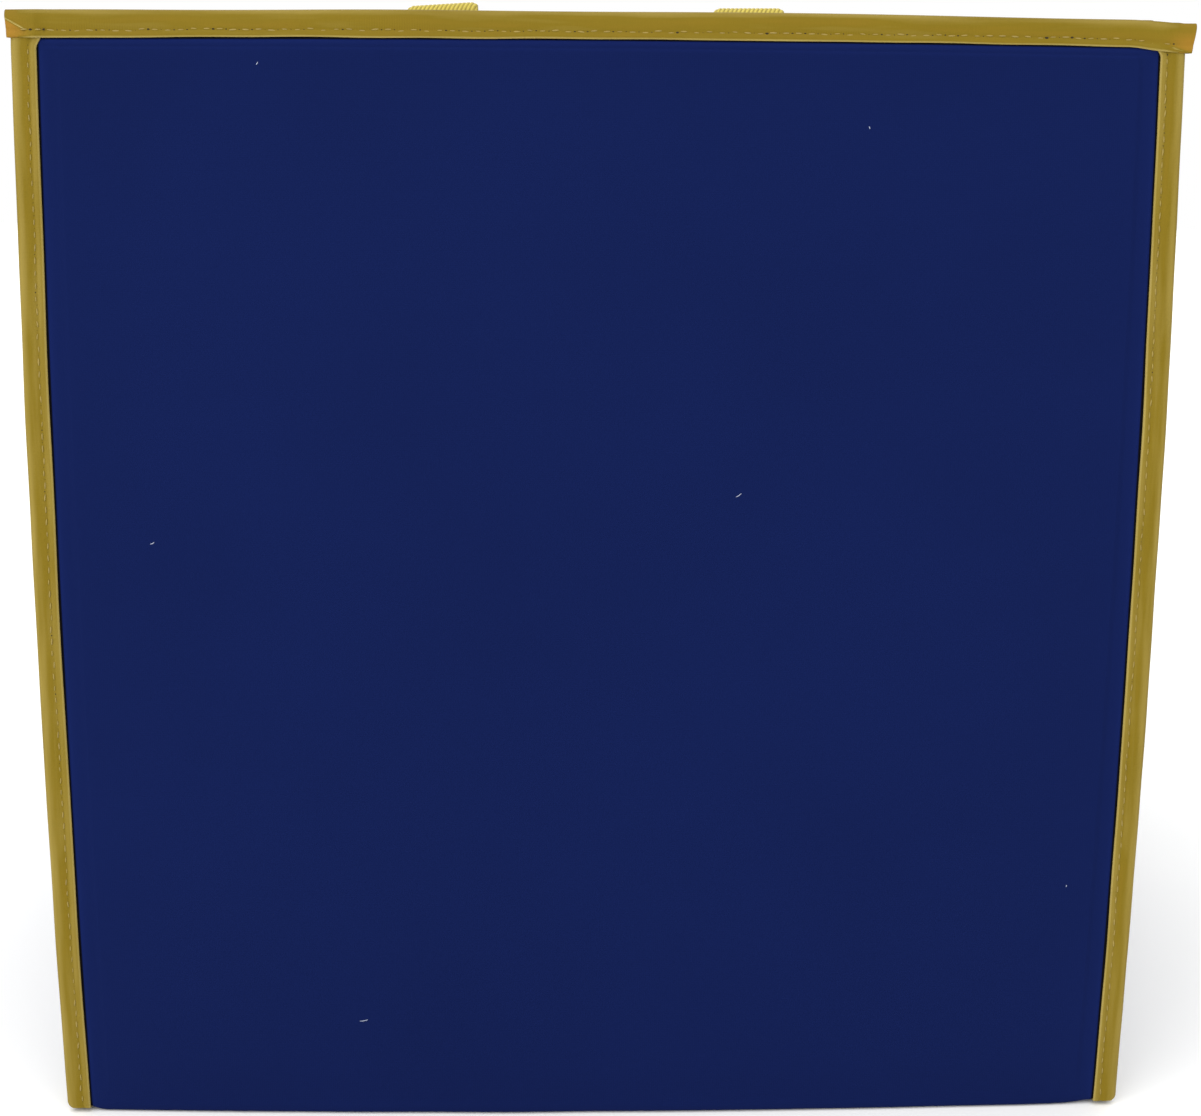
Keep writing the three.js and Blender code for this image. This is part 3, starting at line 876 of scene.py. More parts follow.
def tape_section(thickness, reach, corner):
    """A folded tape's section, open at the foot, and the same with its inside shut for a closed end.

    Both are rows of depth in from the outer face and height up from the tape's edge.
    """
    heights = np.arange(0.6, reach - corner - 0.2, 0.3)
    outer = list(TAPE_LIP[:3]) + list(zip(tape_depth(heights), heights))
    for angle in np.radians((0, 15, 30, 45, 60, 75, 90)):
        outer.append((corner * (1 - math.cos(angle)), reach - corner * (1 - math.sin(angle))))
    pocket = [(thickness / 2 - 0.2, reach - 0.75), (1.3, reach - 0.9), (0.8, reach - 1.6), (0.8, 0.25)]
    inner, pocket_inner = (
        [(thickness - depth, up) for depth, up in reversed(side)] for side in (outer, pocket)
    )
    section = np.array(outer + inner + pocket_inner + pocket)
    shut = section.copy()
    shut[-2 * len(pocket) :, 1] = 0.0
    return section, shut


def tape_stations(stations, sections, first_shut, last_shut):
    """Each station of a tape, whether it is an end, and its section's depths and heights."""
    last = len(stations) - 1
    for i, at in enumerate(stations):
        shape = sections[1] if i < first_shut or last - i < last_shut else sections[0]
        yield at, i in (0, last), shape[:, 0], shape[:, 1]


# Seed and size, in millimetres, of the wander of each tape's stitched edge and of its fold.
EDGES = {
    "facing rim": (61, 0.16),
    "facing fold": (62, 0.22),
    "side rim": (63, 0.16),
    "side fold": (66, 0.2),
    "seam": (71, 0.16),
    "seam fold": (75, 0.12),
    "base": (81, 0.15),
}


def edge_wander(kind, at, turn=0):
    """How a tape's edge wanders along its run. Its stitches follow the stitched edge."""
    seed, size = EDGES[kind]
    return ripple(at, 0 * at, seed + turn, size)


def half_stations(m, step):
    """Stations along the tape of half a side, from its crease to its corner, closer at both ends."""
    return np.r_[0.15, 0.5, 1.0, spaced(3, (m.side_end - 3, step)), m.side_end - 0.8, m.side_end - 0.2]


def ear_bulge(m, at):
    """How far the rim tape stands proud where it laps over an upright tape, out to its ear."""
    return EAR_BULGE * smooth(m.face - 2.5, m.face + 0.5, np.abs(at))


def facing_rim_tape(m, wall):
    """The rim tape of the front or back wall, from one ear to the other, and its tint."""
    thick = m.tape_out - m.tape_in
    low, high = -(m.ear - 0.3), m.ear + 1.2
    s = np.r_[np.linspace(low, low + 9, 31), spaced(low + 9, (high - 9, 2.0))[1:-1]]
    s = np.r_[s, np.linspace(high - 9, high, 31)]
    rings, tints = [], []
    for at, tip, depth, up in tape_stations(s, tape_section(thick, m.rim_reach, 2.0), 3, 3):
        bulge = ear_bulge(m, at)
        narrow = m.tape_in + (m.seam_back - m.tape_in) * float(smooth(m.face - 3.5, m.face - 1, abs(at)))
        outside = m.tape_out + bulge
        inside = narrow - 0.4 * bulge
        outer = depth < thick / 2
        near = np.minimum(depth, thick - depth) < 1.0
        d = outside - depth / thick * (outside - inside)
        d = np.where(near, np.where(outer, outside - depth, inside + (thick - depth)), d)
        if tip:
            middle = (outside + inside) / 2
            d = middle + (d - middle) * 0.72
        share = up / m.rim_reach
        rise = (RIM_LIFT + edge_wander("facing rim", at)) * (1 - share)
        rise = rise + edge_wander("facing fold", at) * share
        z = m.tape_foot + up + rise - 0.25 * tip * (share > 0.5) - rim_droop(at, share)
        along = at + lean(m, at, up)
        rings.append(on_wall(wall, along, d + mitre(m, along, up) * outer, z))
        tints.append(rim_tint(m, along, up))
    return settle(np.array(rings), m), np.array(tints)


def rim_droop(at, share):
    """The rim tape's right end, seen from outside, hangs a little, its lower edge more than its top."""
    return DROOP_ALL * smooth(149, 166, at) + DROOP_EDGE * (1 - share) * smooth(148, 158, at)


def lean(m, at, up):
    """The ends of the rim tape aren't cut square: each runs in a little towards its foot."""
    amount = LEAN_RIGHT if at > 0 else LEAN_LEFT
    near = float(smooth(m.ear - 9, m.ear, abs(at)))
    return -math.copysign(1.0, at) * near * amount * (1 - up / m.rim_reach)


def fold_lines(m, along, up):
    """How far points are in from the ear's end, and past the left corner's fold and the right one's."""
    inwards = m.ear - np.abs(along)
    past_left = m.rim_reach - up - 2.2 - inwards * 0.57
    return inwards, past_left, inwards * 0.22 - up - 0.1


def mitre(m, along, up):
    """The fold at the tape's corner: one layer laps over the other along a slanting line."""
    inwards, past_left, past_right = fold_lines(m, along, up)
    under_left = smooth(-0.25, 0.25, past_left)
    under_right = 0.6 * smooth(-0.3, 0.3, past_right)
    return -MITRE_STEP * smooth(7.5, 6.0, inwards) * np.where(along < 0, under_left, under_right)


def rim_tint(m, along, up):
    """Warm where folded layers meet at the corners, pale along the corners' slanting folds, and painted
    highlight along the tape's lip and folded top.
    """
    inwards, past_left, past_right = fold_lines(m, along, up)
    height = m.rim_reach - up
    line_left = np.exp(-(past_left**2) / 0.07) * smooth(6.4, 5.2, inwards)
    line_right = 0.6 * np.exp(-(past_right**2) / 0.08) * smooth(7.0, 5.0, inwards)
    warm = 0.65 * smooth(9.0, 1.0, inwards)
    under_left = smooth(-0.3, 0.3, past_left)
    under_right = 0.75 * smooth(1.0, 6.0, height)
    below = warm * np.where(along < 0, under_left, under_right)
    pale = np.where(along < 0, line_left, line_right)
    # Painted highlight along the tape's folded lip and its rounded top, where they catch the light.
    painted_edge_highlight = 0.45 * smooth(0.45, 0.1, up) + 0.12 * smooth(2.0, 0.6, height)
    return np.clip(0.15 * warm + 0.75 * below - 0.9 * pale - painted_edge_highlight * (inwards > 4), -1, 1)


def side_rim_tape(m, wall, sign):
    """The rim tape of half a side wall."""
    thick = m.tape_out - m.tape_in
    rings = []
    sections = tape_section(thick, m.rim_reach, 2.0)
    for at, tip, depth, up in tape_stations(half_stations(m, 3.0), sections, 2, 2):
        if tip:
            depth, up = (middle + (line - middle) * 0.86 for line, middle in ((depth, thick / 2), (up, 3.9)))
        share = up / m.rim_reach
        edge = edge_wander("side rim", at, QUARTER_TURNS[wall])
        z = m.tape_foot + up + edge * (1 - share) + edge_wander("side fold", at) * share
        rings.append(on_wall(wall, at * sign, m.tape_out - depth, z))
    return settle(np.array(rings), m)


def upright_seam_tape(m, wall, side):
    """Tape folded over an upright seam, tucked under the rim tape and cut just above the floor."""
    thick = m.tape_out - m.seam_back
    reach = 7.3
    foot = 1.4
    z = spaced(foot + 4, (m.tape_foot - 8, 4.0), (m.tape_foot + 2.4, 0.5))
    z = np.r_[foot, foot + 0.2, foot + 0.7, foot + 1.5, z]
    rings, tints = [], []
    for at, _, depth, out in tape_stations(z, tape_section(thick, reach, 1.7), 2, 1):
        share = out / reach
        edge = edge_wander("seam", at, 3 * side) * (1 - share) + edge_wander("seam fold", at, side) * share
        flare = -1.2 * smooth(m.tape_foot - 2.6, m.tape_foot + 0.6, at) * (1 - share) ** 2
        cut = 1.3 * smooth(0, 1, share - 0.2) * float(np.interp(at - foot, [0, 0.7, 1.5], [1, 0.25, 0]))
        s = m.flange - SEAM_EDGE + out + edge + flare - cut
        tuck = 0.25 * smooth(m.tape_foot - 3, m.tape_foot + 0.5, at)
        d = m.tape_out - depth - np.where(depth < thick / 2, tuck, -tuck)
        if at == foot:
            middle = (m.tape_out + m.seam_back) / 2
            d = middle + (d - middle) * 0.8
        rings.append(on_wall(wall, s * side, d, at))
        # Painted light: the whole upright tape a little lighter for the light falling on it, with painted
        # highlights along its lip and its outer fold.
        pale = 0.3 * smooth(0.45, 0.1, out) + 0.06 * smooth(2.2, 1.6, out)
        tints.append(-0.03 - pale - 0.14 * smooth(reach - 3.5, reach - 0.4, out))
    return settle(np.array(rings), m), np.array(tints)


def base_seam_tape(m, wall, sign):
    """Tape folded over the seam between the base and a gusset, lying flat beside the floor."""
    reach = m.flange - m.face - BASE_TAPE_OUT
    rings = []
    sections = tape_section(BASE_TAPE, reach, 1.5)
    for at, _, depth, out in tape_stations(half_stations(m, 4.0), sections, 2, 2):
        edge = edge_wander("base", at, QUARTER_TURNS[wall]) * (1 - out / reach)
        rings.append(on_wall(wall, at * sign, m.face + BASE_TAPE_OUT + out + edge, FLOOR_GAP + depth))
    return np.array(rings)


class BIN_OT_tape(bpy.types.Operator):
    """Makes the binding tape along the rim, down the upright seams and along the base's sides"""

    bl_idname = "bin.tape"
    bl_label = "Binding Tape"

    def execute(self, context):
        m = Measures(context)
        yellow = made_of("tape")
        for wall in ("front", "back"):
            rings, tint = facing_rim_tape(m, wall)
            piece = loft(f"{wall}_rim_binding", rings, yellow, tint=tint)
            finish_piece(piece, wall, "yellow tape", f"{wall}_rim_tape")
            for side in (-1, 1):
                name = seam_name(wall, side)
                rings, tint = upright_seam_tape(m, wall, side)
                piece = loft(f"{wall}_{name}_seam_binding", rings, yellow, tint=tint)
                finish_piece(piece, wall, "yellow tape", f"{wall}_{name}_seam_tape")
        for (wall, sign), body in SIDE_HALVES.items():
            piece = loft(f"{body}_rim_binding", side_rim_tape(m, wall, sign), yellow)
            finish_piece(piece, body, "yellow tape", f"{body}_rim_tape")
            base = base_half(body)
            piece = loft(f"{base}_{wall}_seam_binding", base_seam_tape(m, wall, sign), yellow)
            finish_piece(piece, base, "yellow tape", f"{base}_{wall}_seam_tape")
        return {"FINISHED"}


# --- Handles ---

# How each leg was sewn on and stands over the rim: a shift along the wall and a lift, in millimetres,
# and a tilt. The keys are the leg's side along the wall.
CRESTS = {-1: (-2.4, -0.3, 0.065), 1: (-1.2, -0.7, 0.012)}
TAPE_GAP = 0.3  # between the rim tape and the webbing
CREST_RISE = 2.4  # from the rim to the webbing's crest
BEND = 3.0  # radius of the webbing's bend over the rim, to the middle of its thickness
LEG = 20.0  # straight hanging leg before the loop curves
LOOP_LEAN = 6.0  # how far the loop's lowest point leans into the bin
SEWN = 27.0  # height of the sewn end under the rim
RIB_SLANT = 0.42  # how far a rib moves across the webbing for each millimetre along it
RIB_DEPTH = 0.3
EDGE_DROOP = 0.6  # how far the webbing's edges sink on the bend
BLEND_LEG = 7.0  # how far down the hanging leg the soft bend reaches


def bend_centre(m):
    """Depth from the middle of the bin to the bend's centre, and the centre's height."""
    sewn = m.tape_in - TAPE_GAP - m.webbing / 2
    crest = m.height + CREST_RISE
    return sewn - BEND, crest - m.webbing / 2 - BEND


def webbing_strip(m, name, middles, widths, wall, lift=None):
    """A ribbed strap along `middles`, rows of s, d, z, with the direction of its width in `widths`.

    The ribs run slanting along the strap on both faces. `lift` raises it, by offset and run along it.
    """
    middles, widths = np.array(middles), unit(np.array(widths))
    face = unit(np.cross(widths, unit(np.gradient(middles, axis=0))))
    run = path_length(middles)[:, None]
    across = np.linspace(-1, 1, 97)
    offset = across[None, :] * (m.width / 2)
    rim = np.sqrt(np.clip(1 - np.clip((np.abs(across) - 0.955) / 0.045, 0, 1) ** 2, 0.0, 1)) * 0.5 + 0.5
    flank = np.clip(1.35 * np.abs(np.sin(math.pi * (offset - RIB_SLANT * run) / m.rib)), 0, 1)
    height = (m.webbing / 2) * rim + RIB_DEPTH * (flank - 0.75) * smooth(1.0, 0.95, np.abs(across))
    middle = middles[:, None, :] + widths[:, None, :] * offset[..., None]
    thick = face[:, None, :] * height[..., None]
    ring = np.concatenate([middle + thick, (middle - thick)[:, ::-1]], axis=1)
    if lift is not None:
        raised = lift(offset, run)
        ring[..., 2] += np.concatenate([raised, raised[:, ::-1]], axis=1)
    world = placed(m, wall, ring[..., 0], ring[..., 1], ring[..., 2])
    # Painted shade: `tint` is 1 in the grooves between the ribs.
    gap = 1 - flank
    tint = np.concatenate([gap, gap[:, ::-1]], axis=1)
    return loft(name, world, made_of("webbing"), sharp=80.0, tint=tint)


def loop_line(m):
    """Middle line and width direction of the hanging loop, without its two bends, left to right."""
    left, right = (CRESTS[side][0] for side in (-1, 1))
    shift = (left + right) / 2
    half = m.spacing / 2 + (right - left) / 2
    centre_d, centre_z = bend_centre(m)
    hang = centre_d - BEND
    leg_top, leg_foot = centre_z - BLEND_LEG, centre_z - LEG
    drop = leg_foot - (m.height - m.drop) - m.webbing / 2
    middles, widths = [], []
    for z in np.arange(leg_top, leg_foot, -0.8):
        middles.append((shift - half, hang, z))
        widths.append((1, 0, 0))
    for angle in np.linspace(0, math.pi, 150):
        hangs = math.sin(angle)
        away = hang - LOOP_LEAN * hangs**2
        middles.append((shift - half * math.cos(angle), away, leg_foot - drop * hangs))
        way = unit(np.array([half * math.sin(angle), 0, -drop * math.cos(angle)]))
        turn = math.pi / 2 * float(smooth(0.05, 1, hangs))
        widths.append((-way[2] * math.cos(turn), -math.sin(turn), way[0] * math.cos(turn)))
    for z in (*np.arange(leg_foot, leg_top, 0.8)[1:], leg_top):
        middles.append((shift + half, hang, z))
        widths.append((-1, 0, 0))
    return middles, widths


def bend_line(m, at):
    """Middle line and width direction of a leg from its sewn end, over the rim, to the hanging loop."""
    centre_d, centre_z = bend_centre(m)
    middles = [(at, centre_d + BEND, z) for z in np.arange(m.height - SEWN, centre_z, 0.7)]
    for angle in np.radians(np.arange(0, 181, 7.5)):
        middles.append((at, centre_d + BEND * math.cos(angle), centre_z + BEND * math.sin(angle)))
    middles += [(at, centre_d - BEND, z) for z in np.arange(centre_z - 0.7, centre_z - BLEND_LEG, -0.7)]
    middles.append((at, centre_d - BEND, centre_z - BLEND_LEG))
    return middles, [(1, 0, 0)] * len(middles)


class BIN_OT_handles(bpy.types.Operator):
    """Makes the two webbing handles, each a hanging loop and two soft bends over the rim"""

    bl_idname = "bin.handles"
    bl_label = "Handles"

    def execute(self, context):
        m = Measures(context)
        for wall, facing in (("front", -1), ("back", 1)):
            handle = f"{wall}_handle"
            piece = webbing_strip(m, f"{handle}_webbing", *loop_line(m), wall)
            finish_piece(piece, handle, "yellow webbing", f"{handle}_loop")
            for side, (shift, lift, tilt) in CRESTS.items():

                def raised(offset, run, lift=lift, tilt=tilt):
                    """How far the leg is lifted on its bend over the rim."""
                    over = SEWN + 3 * BEND
                    on_bend = smooth(SEWN - 5, SEWN, run) * smooth(over + 7, over, run)
                    droop = EDGE_DROOP * smooth(m.width / 2 - 2.4, m.width / 2, np.abs(offset)) ** 2
                    return on_bend * (lift + tilt * offset - droop)

                name = f"{handle}_{seam_name(wall, side)}"
                line = bend_line(m, side * m.spacing / 2 + shift)
                piece = webbing_strip(m, f"{name}_bend", *line, wall, lift=raised)
                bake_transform(piece)
                finish_piece(piece, None, "yellow webbing", f"{name}_end")
        return {"FINISHED"}


# --- Stitches ---


def row_tree():
    """Geometry Nodes that lay one small rounded mark on every point, turned to its seam."""
    tree = bpy.data.node_groups.new("Row of marks", "GeometryNodeTree")
    inputs = [(name, "Float") for name in ("Length", "Width", "Height", "Forward", "Sink", "Turn")]
    for name, kind in (("Geometry", "Geometry"), *inputs, ("Seed", "Int"), ("Material", "Material")):
        tree.interface.new_socket(name, in_out="INPUT", socket_type=f"NodeSocket{kind}")
    tree.interface.new_socket("Geometry", in_out="OUTPUT", socket_type="NodeSocketGeometry")

    def node(kind, inputs, **settings):
        """The first output of a new node."""
        return add_node(tree, kind, inputs, **settings).outputs[0]

    given = add_node(tree, "NodeGroupInput").outputs
    named = "GeometryNodeInputNamedAttribute"
    along, outward = (node(named, {"Name": name}, data_type="FLOAT_VECTOR") for name in ("along", "outward"))
    forward, sink = (
        node("ShaderNodeVectorMath", {0: way, "Scale": given[size]}, operation="SCALE")
        for way, size in ((along, "Forward"), (outward, "Sink"))
    )
    offset = node("ShaderNodeVectorMath", {0: forward, 1: sink}, operation="SUBTRACT")
    moved = node("GeometryNodeSetPosition", {"Geometry": given["Geometry"], "Offset": offset})
    ball = node("GeometryNodeMeshUVSphere", {"Segments": 8, "Rings": 5, "Radius": 0.5})
    size = node("ShaderNodeCombineXYZ", {"X": given["Length"], "Y": given["Width"], "Z": given["Height"]})
    mark = node("GeometryNodeTransform", {"Geometry": ball, "Scale": size})
    align = "FunctionNodeAlignRotationToVector"
    stand = node(align, {"Vector": outward}, axis="Z")
    turned = node(align, {"Rotation": stand, "Vector": along}, axis="X", pivot_axis="Z")
    less = node("ShaderNodeMath", {0: given["Turn"], 1: -1.0}, operation="MULTIPLY")
    limits = {2: less, 3: given["Turn"], "Seed": given["Seed"]}
    chance = add_node(tree, "FunctionNodeRandomValue", limits, data_type="FLOAT").outputs[1]
    twist = node("FunctionNodeAxisAngleToRotation", {"Axis": (0, 0, 1), "Angle": chance})
    twisted = {"Rotation": turned, "Rotate By": twist}
    rotation = node("FunctionNodeRotateRotation", twisted, rotation_space="LOCAL")
    scale = node(named, {"Name": "size"}, data_type="FLOAT")
    marks = {"Points": moved, "Instance": mark, "Rotation": rotation, "Scale": scale}
    real = node("GeometryNodeRealizeInstances", {"Geometry": node("GeometryNodeInstanceOnPoints", marks)})
    dressed = node("GeometryNodeSetMaterial", {"Geometry": real, "Material": given["Material"]})
    add_node(tree, "NodeGroupOutput", {"Geometry": dressed})
    return tree


def lay_marks(name, tree, points, along, outward, size, settings):
    """Runs the tree on points in millimetres and keeps its result as a plain mesh."""
    mesh = bpy.data.meshes.new(name + "_points")
    mesh.from_pydata((points * TO_METRES).tolist(), [], [])
    for key, values in (("along", along), ("outward", outward)):
        layer = mesh.attributes.new(key, "FLOAT_VECTOR", "POINT")
        layer.data.foreach_set("vector", values.astype(np.float32).ravel())
    mesh.attributes.new("size", "FLOAT", "POINT").data.foreach_set("value", size.astype(np.float32))
    source = add_object(name + "_source", mesh)
    modifier = source.modifiers.new("Marks", "NODES")
    modifier.node_group = tree
    for item in tree.interface.items_tree:
        if item.in_out == "INPUT" and item.name in settings:
            modifier[item.identifier] = settings[item.name]
    graph = bpy.context.evaluated_depsgraph_get()
    result = bpy.data.meshes.new_from_object(source.evaluated_get(graph))
    result.name = name
    for extra in ("along", "outward", "size"):
        if extra in result.attributes:
            result.attributes.remove(result.attributes[extra])
    result.shade_smooth()
    made = add_object(name, result)
    source.modifiers.clear()
    bpy.data.objects.remove(source)
    return made


class Seam:
    """Stitch points gathered for one body."""

    def __init__(self):
        self.rows = []

    def add(self, m, wall, s, d, z, along, out, hole=1.0):
        """Points on a wall, with the seam's direction and the way out of the surface in s, d, z.

        `hole` is how wide its needle holes stand open.
        """
        points = placed(m, wall, s, d, z)
        ways = (on_wall(wall, *way) * np.ones_like(points) for way in (along, out))
        self.rows.append((points, *ways, np.full(len(points), hole)))

    def arrays(self):
        """All its points, directions, ways out and hole sizes."""
        return (np.concatenate(part) for part in zip(*self.rows))


def row(low, high, m):
    """Middles of the stitches that fit between two ends."""
    return np.arange(low + m.pitch / 2, high, m.pitch)


def zigzag(count, size, seed):
    """A sewn line wanders a little."""
    return np.random.default_rng(seed).uniform(-size, size, count)


ALONG, UPWARDS = (1, 0, 0), (0, 0, 1)
OUT, IN = (0, 1, 0), (0, -1, 0)


def stitch_seams(m):
    """Every row of stitches, by body."""
    seams = {}
    up = m.tape_foot + STITCH_IN
    foot_share = 0.73  # how much of the tape's edge wander is left up at the stitches
    for wall in ("front", "back"):
        seam = seams[wall] = Seam()
        s = row(-(m.ear - 4), m.ear - 4, m)
        z = up + (RIM_LIFT + edge_wander("facing rim", s)) * foot_share + zigzag(len(s), 0.28, 5)
        z = z - rim_droop(s, 1 - foot_share)
        seam.add(m, wall, s, m.tape_out + ear_bulge(m, s) - STITCH_DIP, z, ALONG, OUT)
        s = row(-(m.face - 5), m.face - 5, m)
        z = up + (RIM_LIFT + edge_wander("facing rim", s)) * foot_share - rim_droop(s, 1 - foot_share)
        seam.add(m, wall, s, m.tape_in + STITCH_DIP, z, ALONG, IN)
        for side in (-1, 1):
            z = row(3.0, m.tape_foot - 1.0, m)
            edge = edge_wander("seam", z, 3 * side) * 0.7
            stitch_in = 2.4 if side < 0 else 1.8
            across = stitch_in + zigzag(len(z), 0.22, 9 + side)
            s = (m.flange - SEAM_EDGE + across + edge) * side
            sunk = tape_depth(across) + 0.02
            seam.add(m, wall, s, m.tape_out - sunk, z, UPWARDS, OUT, hole=0.5)
            seam.add(m, wall, s, m.seam_back + sunk, z, UPWARDS, IN)
            sew_handle(m, seam, wall, side)
    for (wall, sign), body in SIDE_HALVES.items():
        seam = seams[body] = Seam()
        s = row(1.0, m.side_end - 1, m)
        z = up + edge_wander("side rim", s, QUARTER_TURNS[wall]) * foot_share
        seam.add(m, wall, s * sign, m.tape_out - STITCH_DIP, z, ALONG, OUT)
        seam.add(m, wall, s * sign, m.tape_in + STITCH_DIP, z, ALONG, IN)
        base = seams.setdefault(base_half(body), Seam())
        d = m.face + BASE_TAPE_OUT + STITCH_IN + edge_wander("base", s, QUARTER_TURNS[wall]) * 0.7
        base.add(m, wall, s * sign, d, FLOOR_GAP + BASE_TAPE - STITCH_DIP, ALONG, UPWARDS)
    return seams


def sew_handle(m, seam, wall, side):
    """The box and cross of stitches that hold a handle's sewn end to the wall."""
    centre_d, _ = bend_centre(m)
    depth = centre_d + BEND - m.webbing / 2 - 0.02
    middle = side * m.spacing / 2 + CRESTS[side][0]
    half, low, high = 8.0, m.height - SEWN + 2.5, m.height - 9.5
    pitch = 2.6
    for z in (low, high):
        s = middle + np.arange(-half + pitch / 2, half, pitch)
        seam.add(m, wall, s, depth, z, ALONG, IN)
    for edge in (-half, half):
        z = np.arange(low + pitch / 2, high, pitch)
        seam.add(m, wall, middle + edge, depth, z, UPWARDS, IN)
    steps = np.arange(0.1, 0.95, 0.13)
    size = math.hypot(2 * half, high - low)
    for slope in (-1, 1):
        s = middle + slope * half * (2 * steps - 1)
        way = (2 * half * slope / size, 0, (high - low) / size)
        seam.add(m, wall, s, depth, low + (high - low) * steps, way, IN)


class BIN_OT_stitches(bpy.types.Operator):
    """Sews the tape and the handles, one mesh of stitches and one of needle holes for each body"""

    bl_idname = "bin.stitches"
    bl_label = "Stitches"

    def execute(self, context):
        m = Measures(context)
        sizes = context.scene.bin_stitches
        tree = row_tree()
        stitch = {
            "Length": sizes.dash,
            "Width": sizes.thread,
            "Height": sizes.thread * 0.8,
            "Forward": 0.0,
            "Sink": -0.00006,
            "Turn": math.radians(7),
            "Seed": sizes.seed,
            "Material": made_of("thread"),
        }
        # The needle holes are dark marks of painted shade, sunk a little into the tape between the stitches.
        hole = {
            "Length": sizes.hole * 1.4,
            "Width": sizes.hole,
            "Height": sizes.hole * 0.5,
            "Forward": sizes.pitch / 2,
            "Sink": 0.00004,
            "Turn": 0.0,
            "Seed": sizes.seed,
            "Material": made_of("needle_hole"),
        }
        draw = np.random.default_rng(sizes.seed)
        for body, seam in stitch_seams(m).items():
            points, along, outward, holes = seam.arrays()
            count = len(points)
            dash_size = draw.uniform(0.72, 1.12, count)
            hole_size = holes * (draw.uniform(0.6, 1.2, count) + (draw.random(count) > 0.95) * 0.8)
            for kind, settings, size in (("stitches", stitch, dash_size), ("needle_holes", hole, hole_size)):
                piece = lay_marks(f"{body}_{kind}", tree, points, along, outward, size, settings)
                finish_piece(piece, body, "yellow tape")
        return {"FINISHED"}


# --- Lint ---

# Specks on the front wall: along it, up it, length and turn in degrees.
LINT = (
    (-71.7, 32.0, 2.6, 12),
    (-130.0, 182.2, 1.4, 25),
    (40.3, 197.0, 1.9, 35),
    (-96.8, 318.5, 0.9, 60),
    (75.6, 302.2, 0.8, 110),
    (143.9, 74.5, 0.6, 80),
)
LINT_RADIUS = 0.13


class BIN_OT_lint(bpy.types.Operator):
    """Lays a few specks of lint on the front wall"""

    bl_idname = "bin.lint"
    bl_label = "Lint"

    def execute(self, context):
        m = Measures(context)
        steps = np.linspace(-0.5, 0.5, 9)[:, None]
        radius = LINT_RADIUS * np.sqrt(np.clip(1 - (2 * steps) ** 4, 0.05, 1))
        angles = np.linspace(0, 2 * math.pi, 7)[:-1]
        for i, (at, up, size, turn) in enumerate(LINT):
            bend = 0.25 * size * (steps**2 - 0.1)
            cos, sin = math.cos(math.radians(turn)), math.sin(math.radians(turn))
            s = at + size * steps * cos - bend * sin - np.cos(angles) * radius * sin
            z = up + size * steps * sin + bend * cos + np.cos(angles) * radius * cos
            d = m.face + 0.08 + facing_relief(m, "front", s, z) + np.sin(angles) * radius
            rings = placed(m, "front", s, d, z)
            piece = loft(f"front_lint_{i + 1}", rings, made_of("lint"))
            finish_piece(piece, "front", "navy cloth")
        return {"FINISHED"}


# --- Stage ---

CAMERA_BACK = 572.9  # from the front wall's face to the camera
CAMERA_LEFT = 16.9
CAMERA_BELOW_RIM = 33.0
CAMERA_PITCH = 12.08
CAMERA_TURN = 1.72
CAMERA_ROLL = 0.42
CAMERA_LENS = 59.18


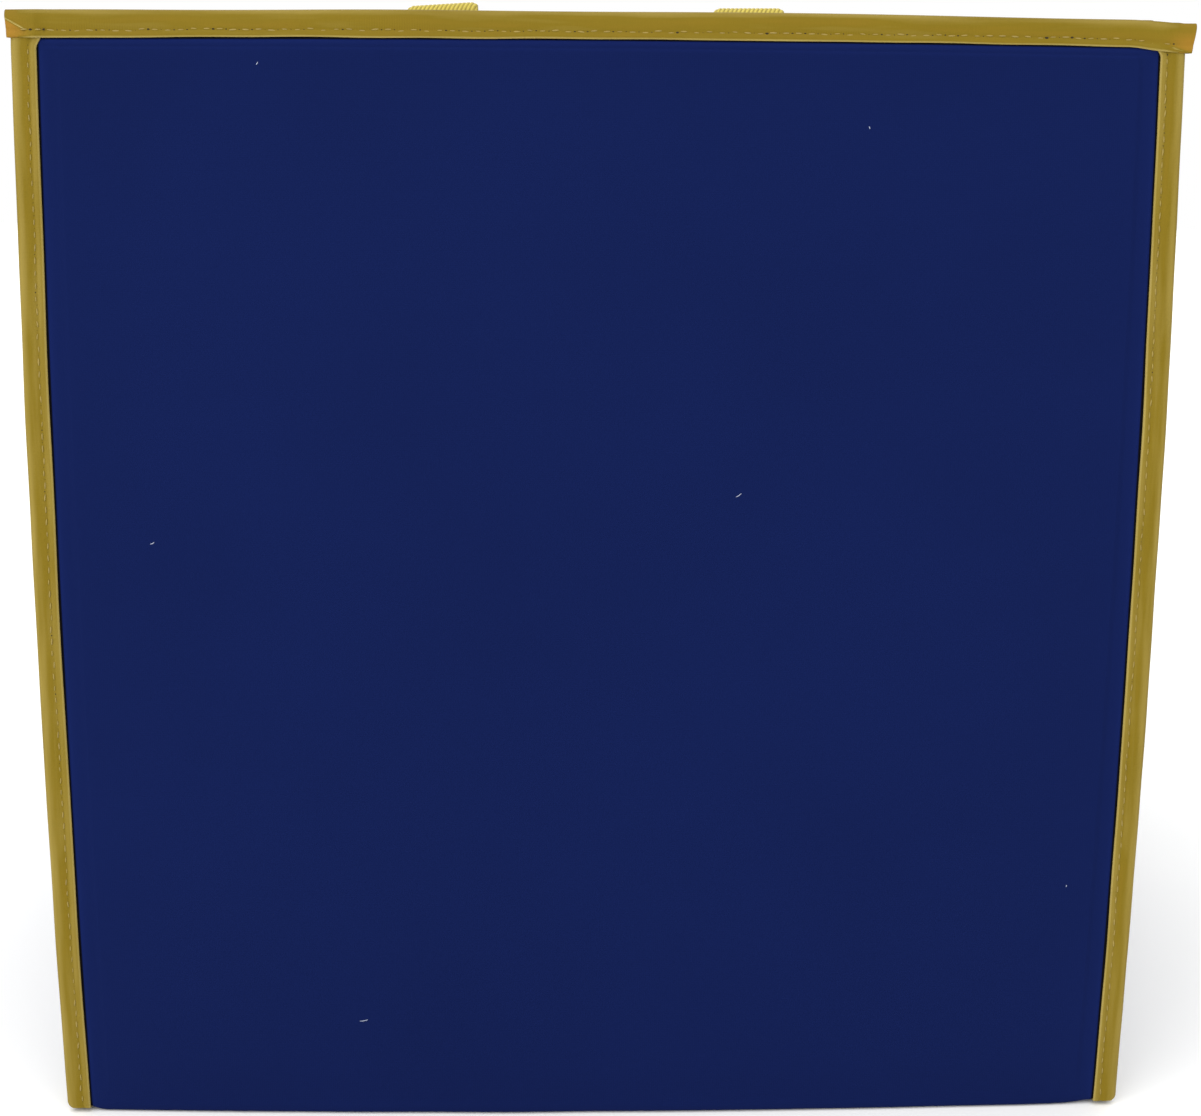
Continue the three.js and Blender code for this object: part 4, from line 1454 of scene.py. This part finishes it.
class BIN_OT_stage(bpy.types.Operator):
    """Sets up the camera, the soft lights, the pale floor and the materials"""

    bl_idname = "bin.stage"
    bl_label = "Stage and Materials"

    def execute(self, context):
        m = Measures(context)
        make_materials(context.scene.bin_colours)
        self.camera(context, m)
        self.floor(context)
        self.lights(context)
        return {"FINISHED"}

    def camera(self, context, m):
        """Places the camera in front of the bin, a little under its rim and to its left."""
        data = bpy.data.cameras.new("Camera")
        data.sensor_width = 36
        data.lens = CAMERA_LENS
        camera = add_object("Camera", data)
        place = np.array([-CAMERA_LEFT, -(m.face + CAMERA_BACK), m.height - CAMERA_BELOW_RIM]) * TO_METRES
        camera.matrix_world = (
            Matrix.Translation(place.tolist())
            @ Matrix.Rotation(-math.radians(CAMERA_TURN), 4, "Z")
            @ Matrix.Rotation(math.radians(90 - CAMERA_PITCH), 4, "X")
            @ Matrix.Rotation(math.radians(CAMERA_ROLL), 4, "Z")
        )
        context.scene.camera = camera

    def floor(self, context):
        """Lays the floor just under the bin's foot."""
        size, top = 6.0, -0.00005
        corners = [(-size, -size, top), (size, -size, top), (size, size, top), (-size, size, top)]
        mesh = bpy.data.meshes.new("studio_floor")
        mesh.from_pydata(corners, [], [(0, 1, 2, 3)])
        mesh.materials.append(studio_floor(context.scene.bin_colours.floor))
        add_object("studio_floor", mesh)

    def lights(self, context):
        """Adds a white surround, two broad soft lights and a fill light."""
        world = bpy.data.worlds.new("Studio")
        context.scene.world = world
        world.use_nodes = True
        tree = world.node_tree
        tree.nodes.clear()
        white = (1, 1, 1, 1)
        soft = add_node(tree, "ShaderNodeBackground", {"Color": white, "Strength": 0.6})
        seen = add_node(tree, "ShaderNodeBackground", {"Color": white, "Strength": 1.0})
        ray = add_node(tree, "ShaderNodeLightPath")
        inputs = {0: ray.outputs["Is Camera Ray"], 1: soft.outputs[0], 2: seen.outputs[0]}
        mixed = add_node(tree, "ShaderNodeMixShader", inputs)
        add_node(tree, "ShaderNodeOutputWorld", {"Surface": mixed.outputs[0]})
        context.scene.view_settings.view_transform = "Standard"
        for name, energy, place in (
            ("Front softbox", 2.2, (-0.4, -1.1, 1.6)),
            ("Rear softbox", 1.2, (0.35, 1.3, 1.2)),
        ):
            sun = bpy.data.lights.new(name, "SUN")
            sun.energy = energy
            sun.angle = math.radians(80)
            self.place_light(sun, place)
        fill = bpy.data.lights.new("Fill light", "AREA")
        fill.energy = 7
        fill.size = 1.4
        self.place_light(fill, (-1.2, -1.4, 0.7))

    def place_light(self, data, place):
        """Puts a light at a place in metres, turned to the bin."""
        light = add_object(data.name, data)
        place = Vector(place)
        turn = (place - Vector((0, 0, 0.17))).to_track_quat("Z", "Y")
        light.matrix_world = Matrix.Translation(place) @ turn.to_matrix().to_4x4()


# --- Panel and main ---

OPERATORS = (
    BIN_OT_stage,
    BIN_OT_boards,
    BIN_OT_outer_cloth,
    BIN_OT_lining,
    BIN_OT_gussets,
    BIN_OT_tape,
    BIN_OT_handles,
    BIN_OT_stitches,
    BIN_OT_lint,
)


class BIN_PT_pieces(bpy.types.Panel):
    """Lists the steps that make the bin"""

    bl_idname = "BIN_PT_pieces"
    bl_label = "Storage Bin"
    bl_space_type = "VIEW_3D"
    bl_region_type = "UI"
    bl_category = "Storage Bin"

    def draw(self, context):
        for operator in OPERATORS:
            self.layout.operator(operator.bl_idname)
        for group in GROUPS:
            box = self.layout.box()
            box.label(text=group)
            values = getattr(context.scene, group)
            for key in values.__annotations__:
                box.prop(values, key)


GROUPS = {
    "bin_sizes": BinSizes,
    "bin_stitches": StitchSizes,
    "bin_handles": HandleSizes,
    "bin_colours": BinColours,
}


def register():
    for kind in (*GROUPS.values(), *OPERATORS, BIN_PT_pieces):
        bpy.utils.register_class(kind)
    for name, kind in GROUPS.items():
        setattr(bpy.types.Scene, name, PointerProperty(type=kind))


def unregister():
    for name in GROUPS:
        delattr(bpy.types.Scene, name)
    for kind in (BIN_PT_pieces, *reversed(OPERATORS), *GROUPS.values()):
        bpy.utils.unregister_class(kind)


def main():
    register()
    for operator in OPERATORS:
        step = operator.bl_idname.split(".")[1]
        getattr(bpy.ops.bin, step)()


if __name__ == "__main__":
    main()
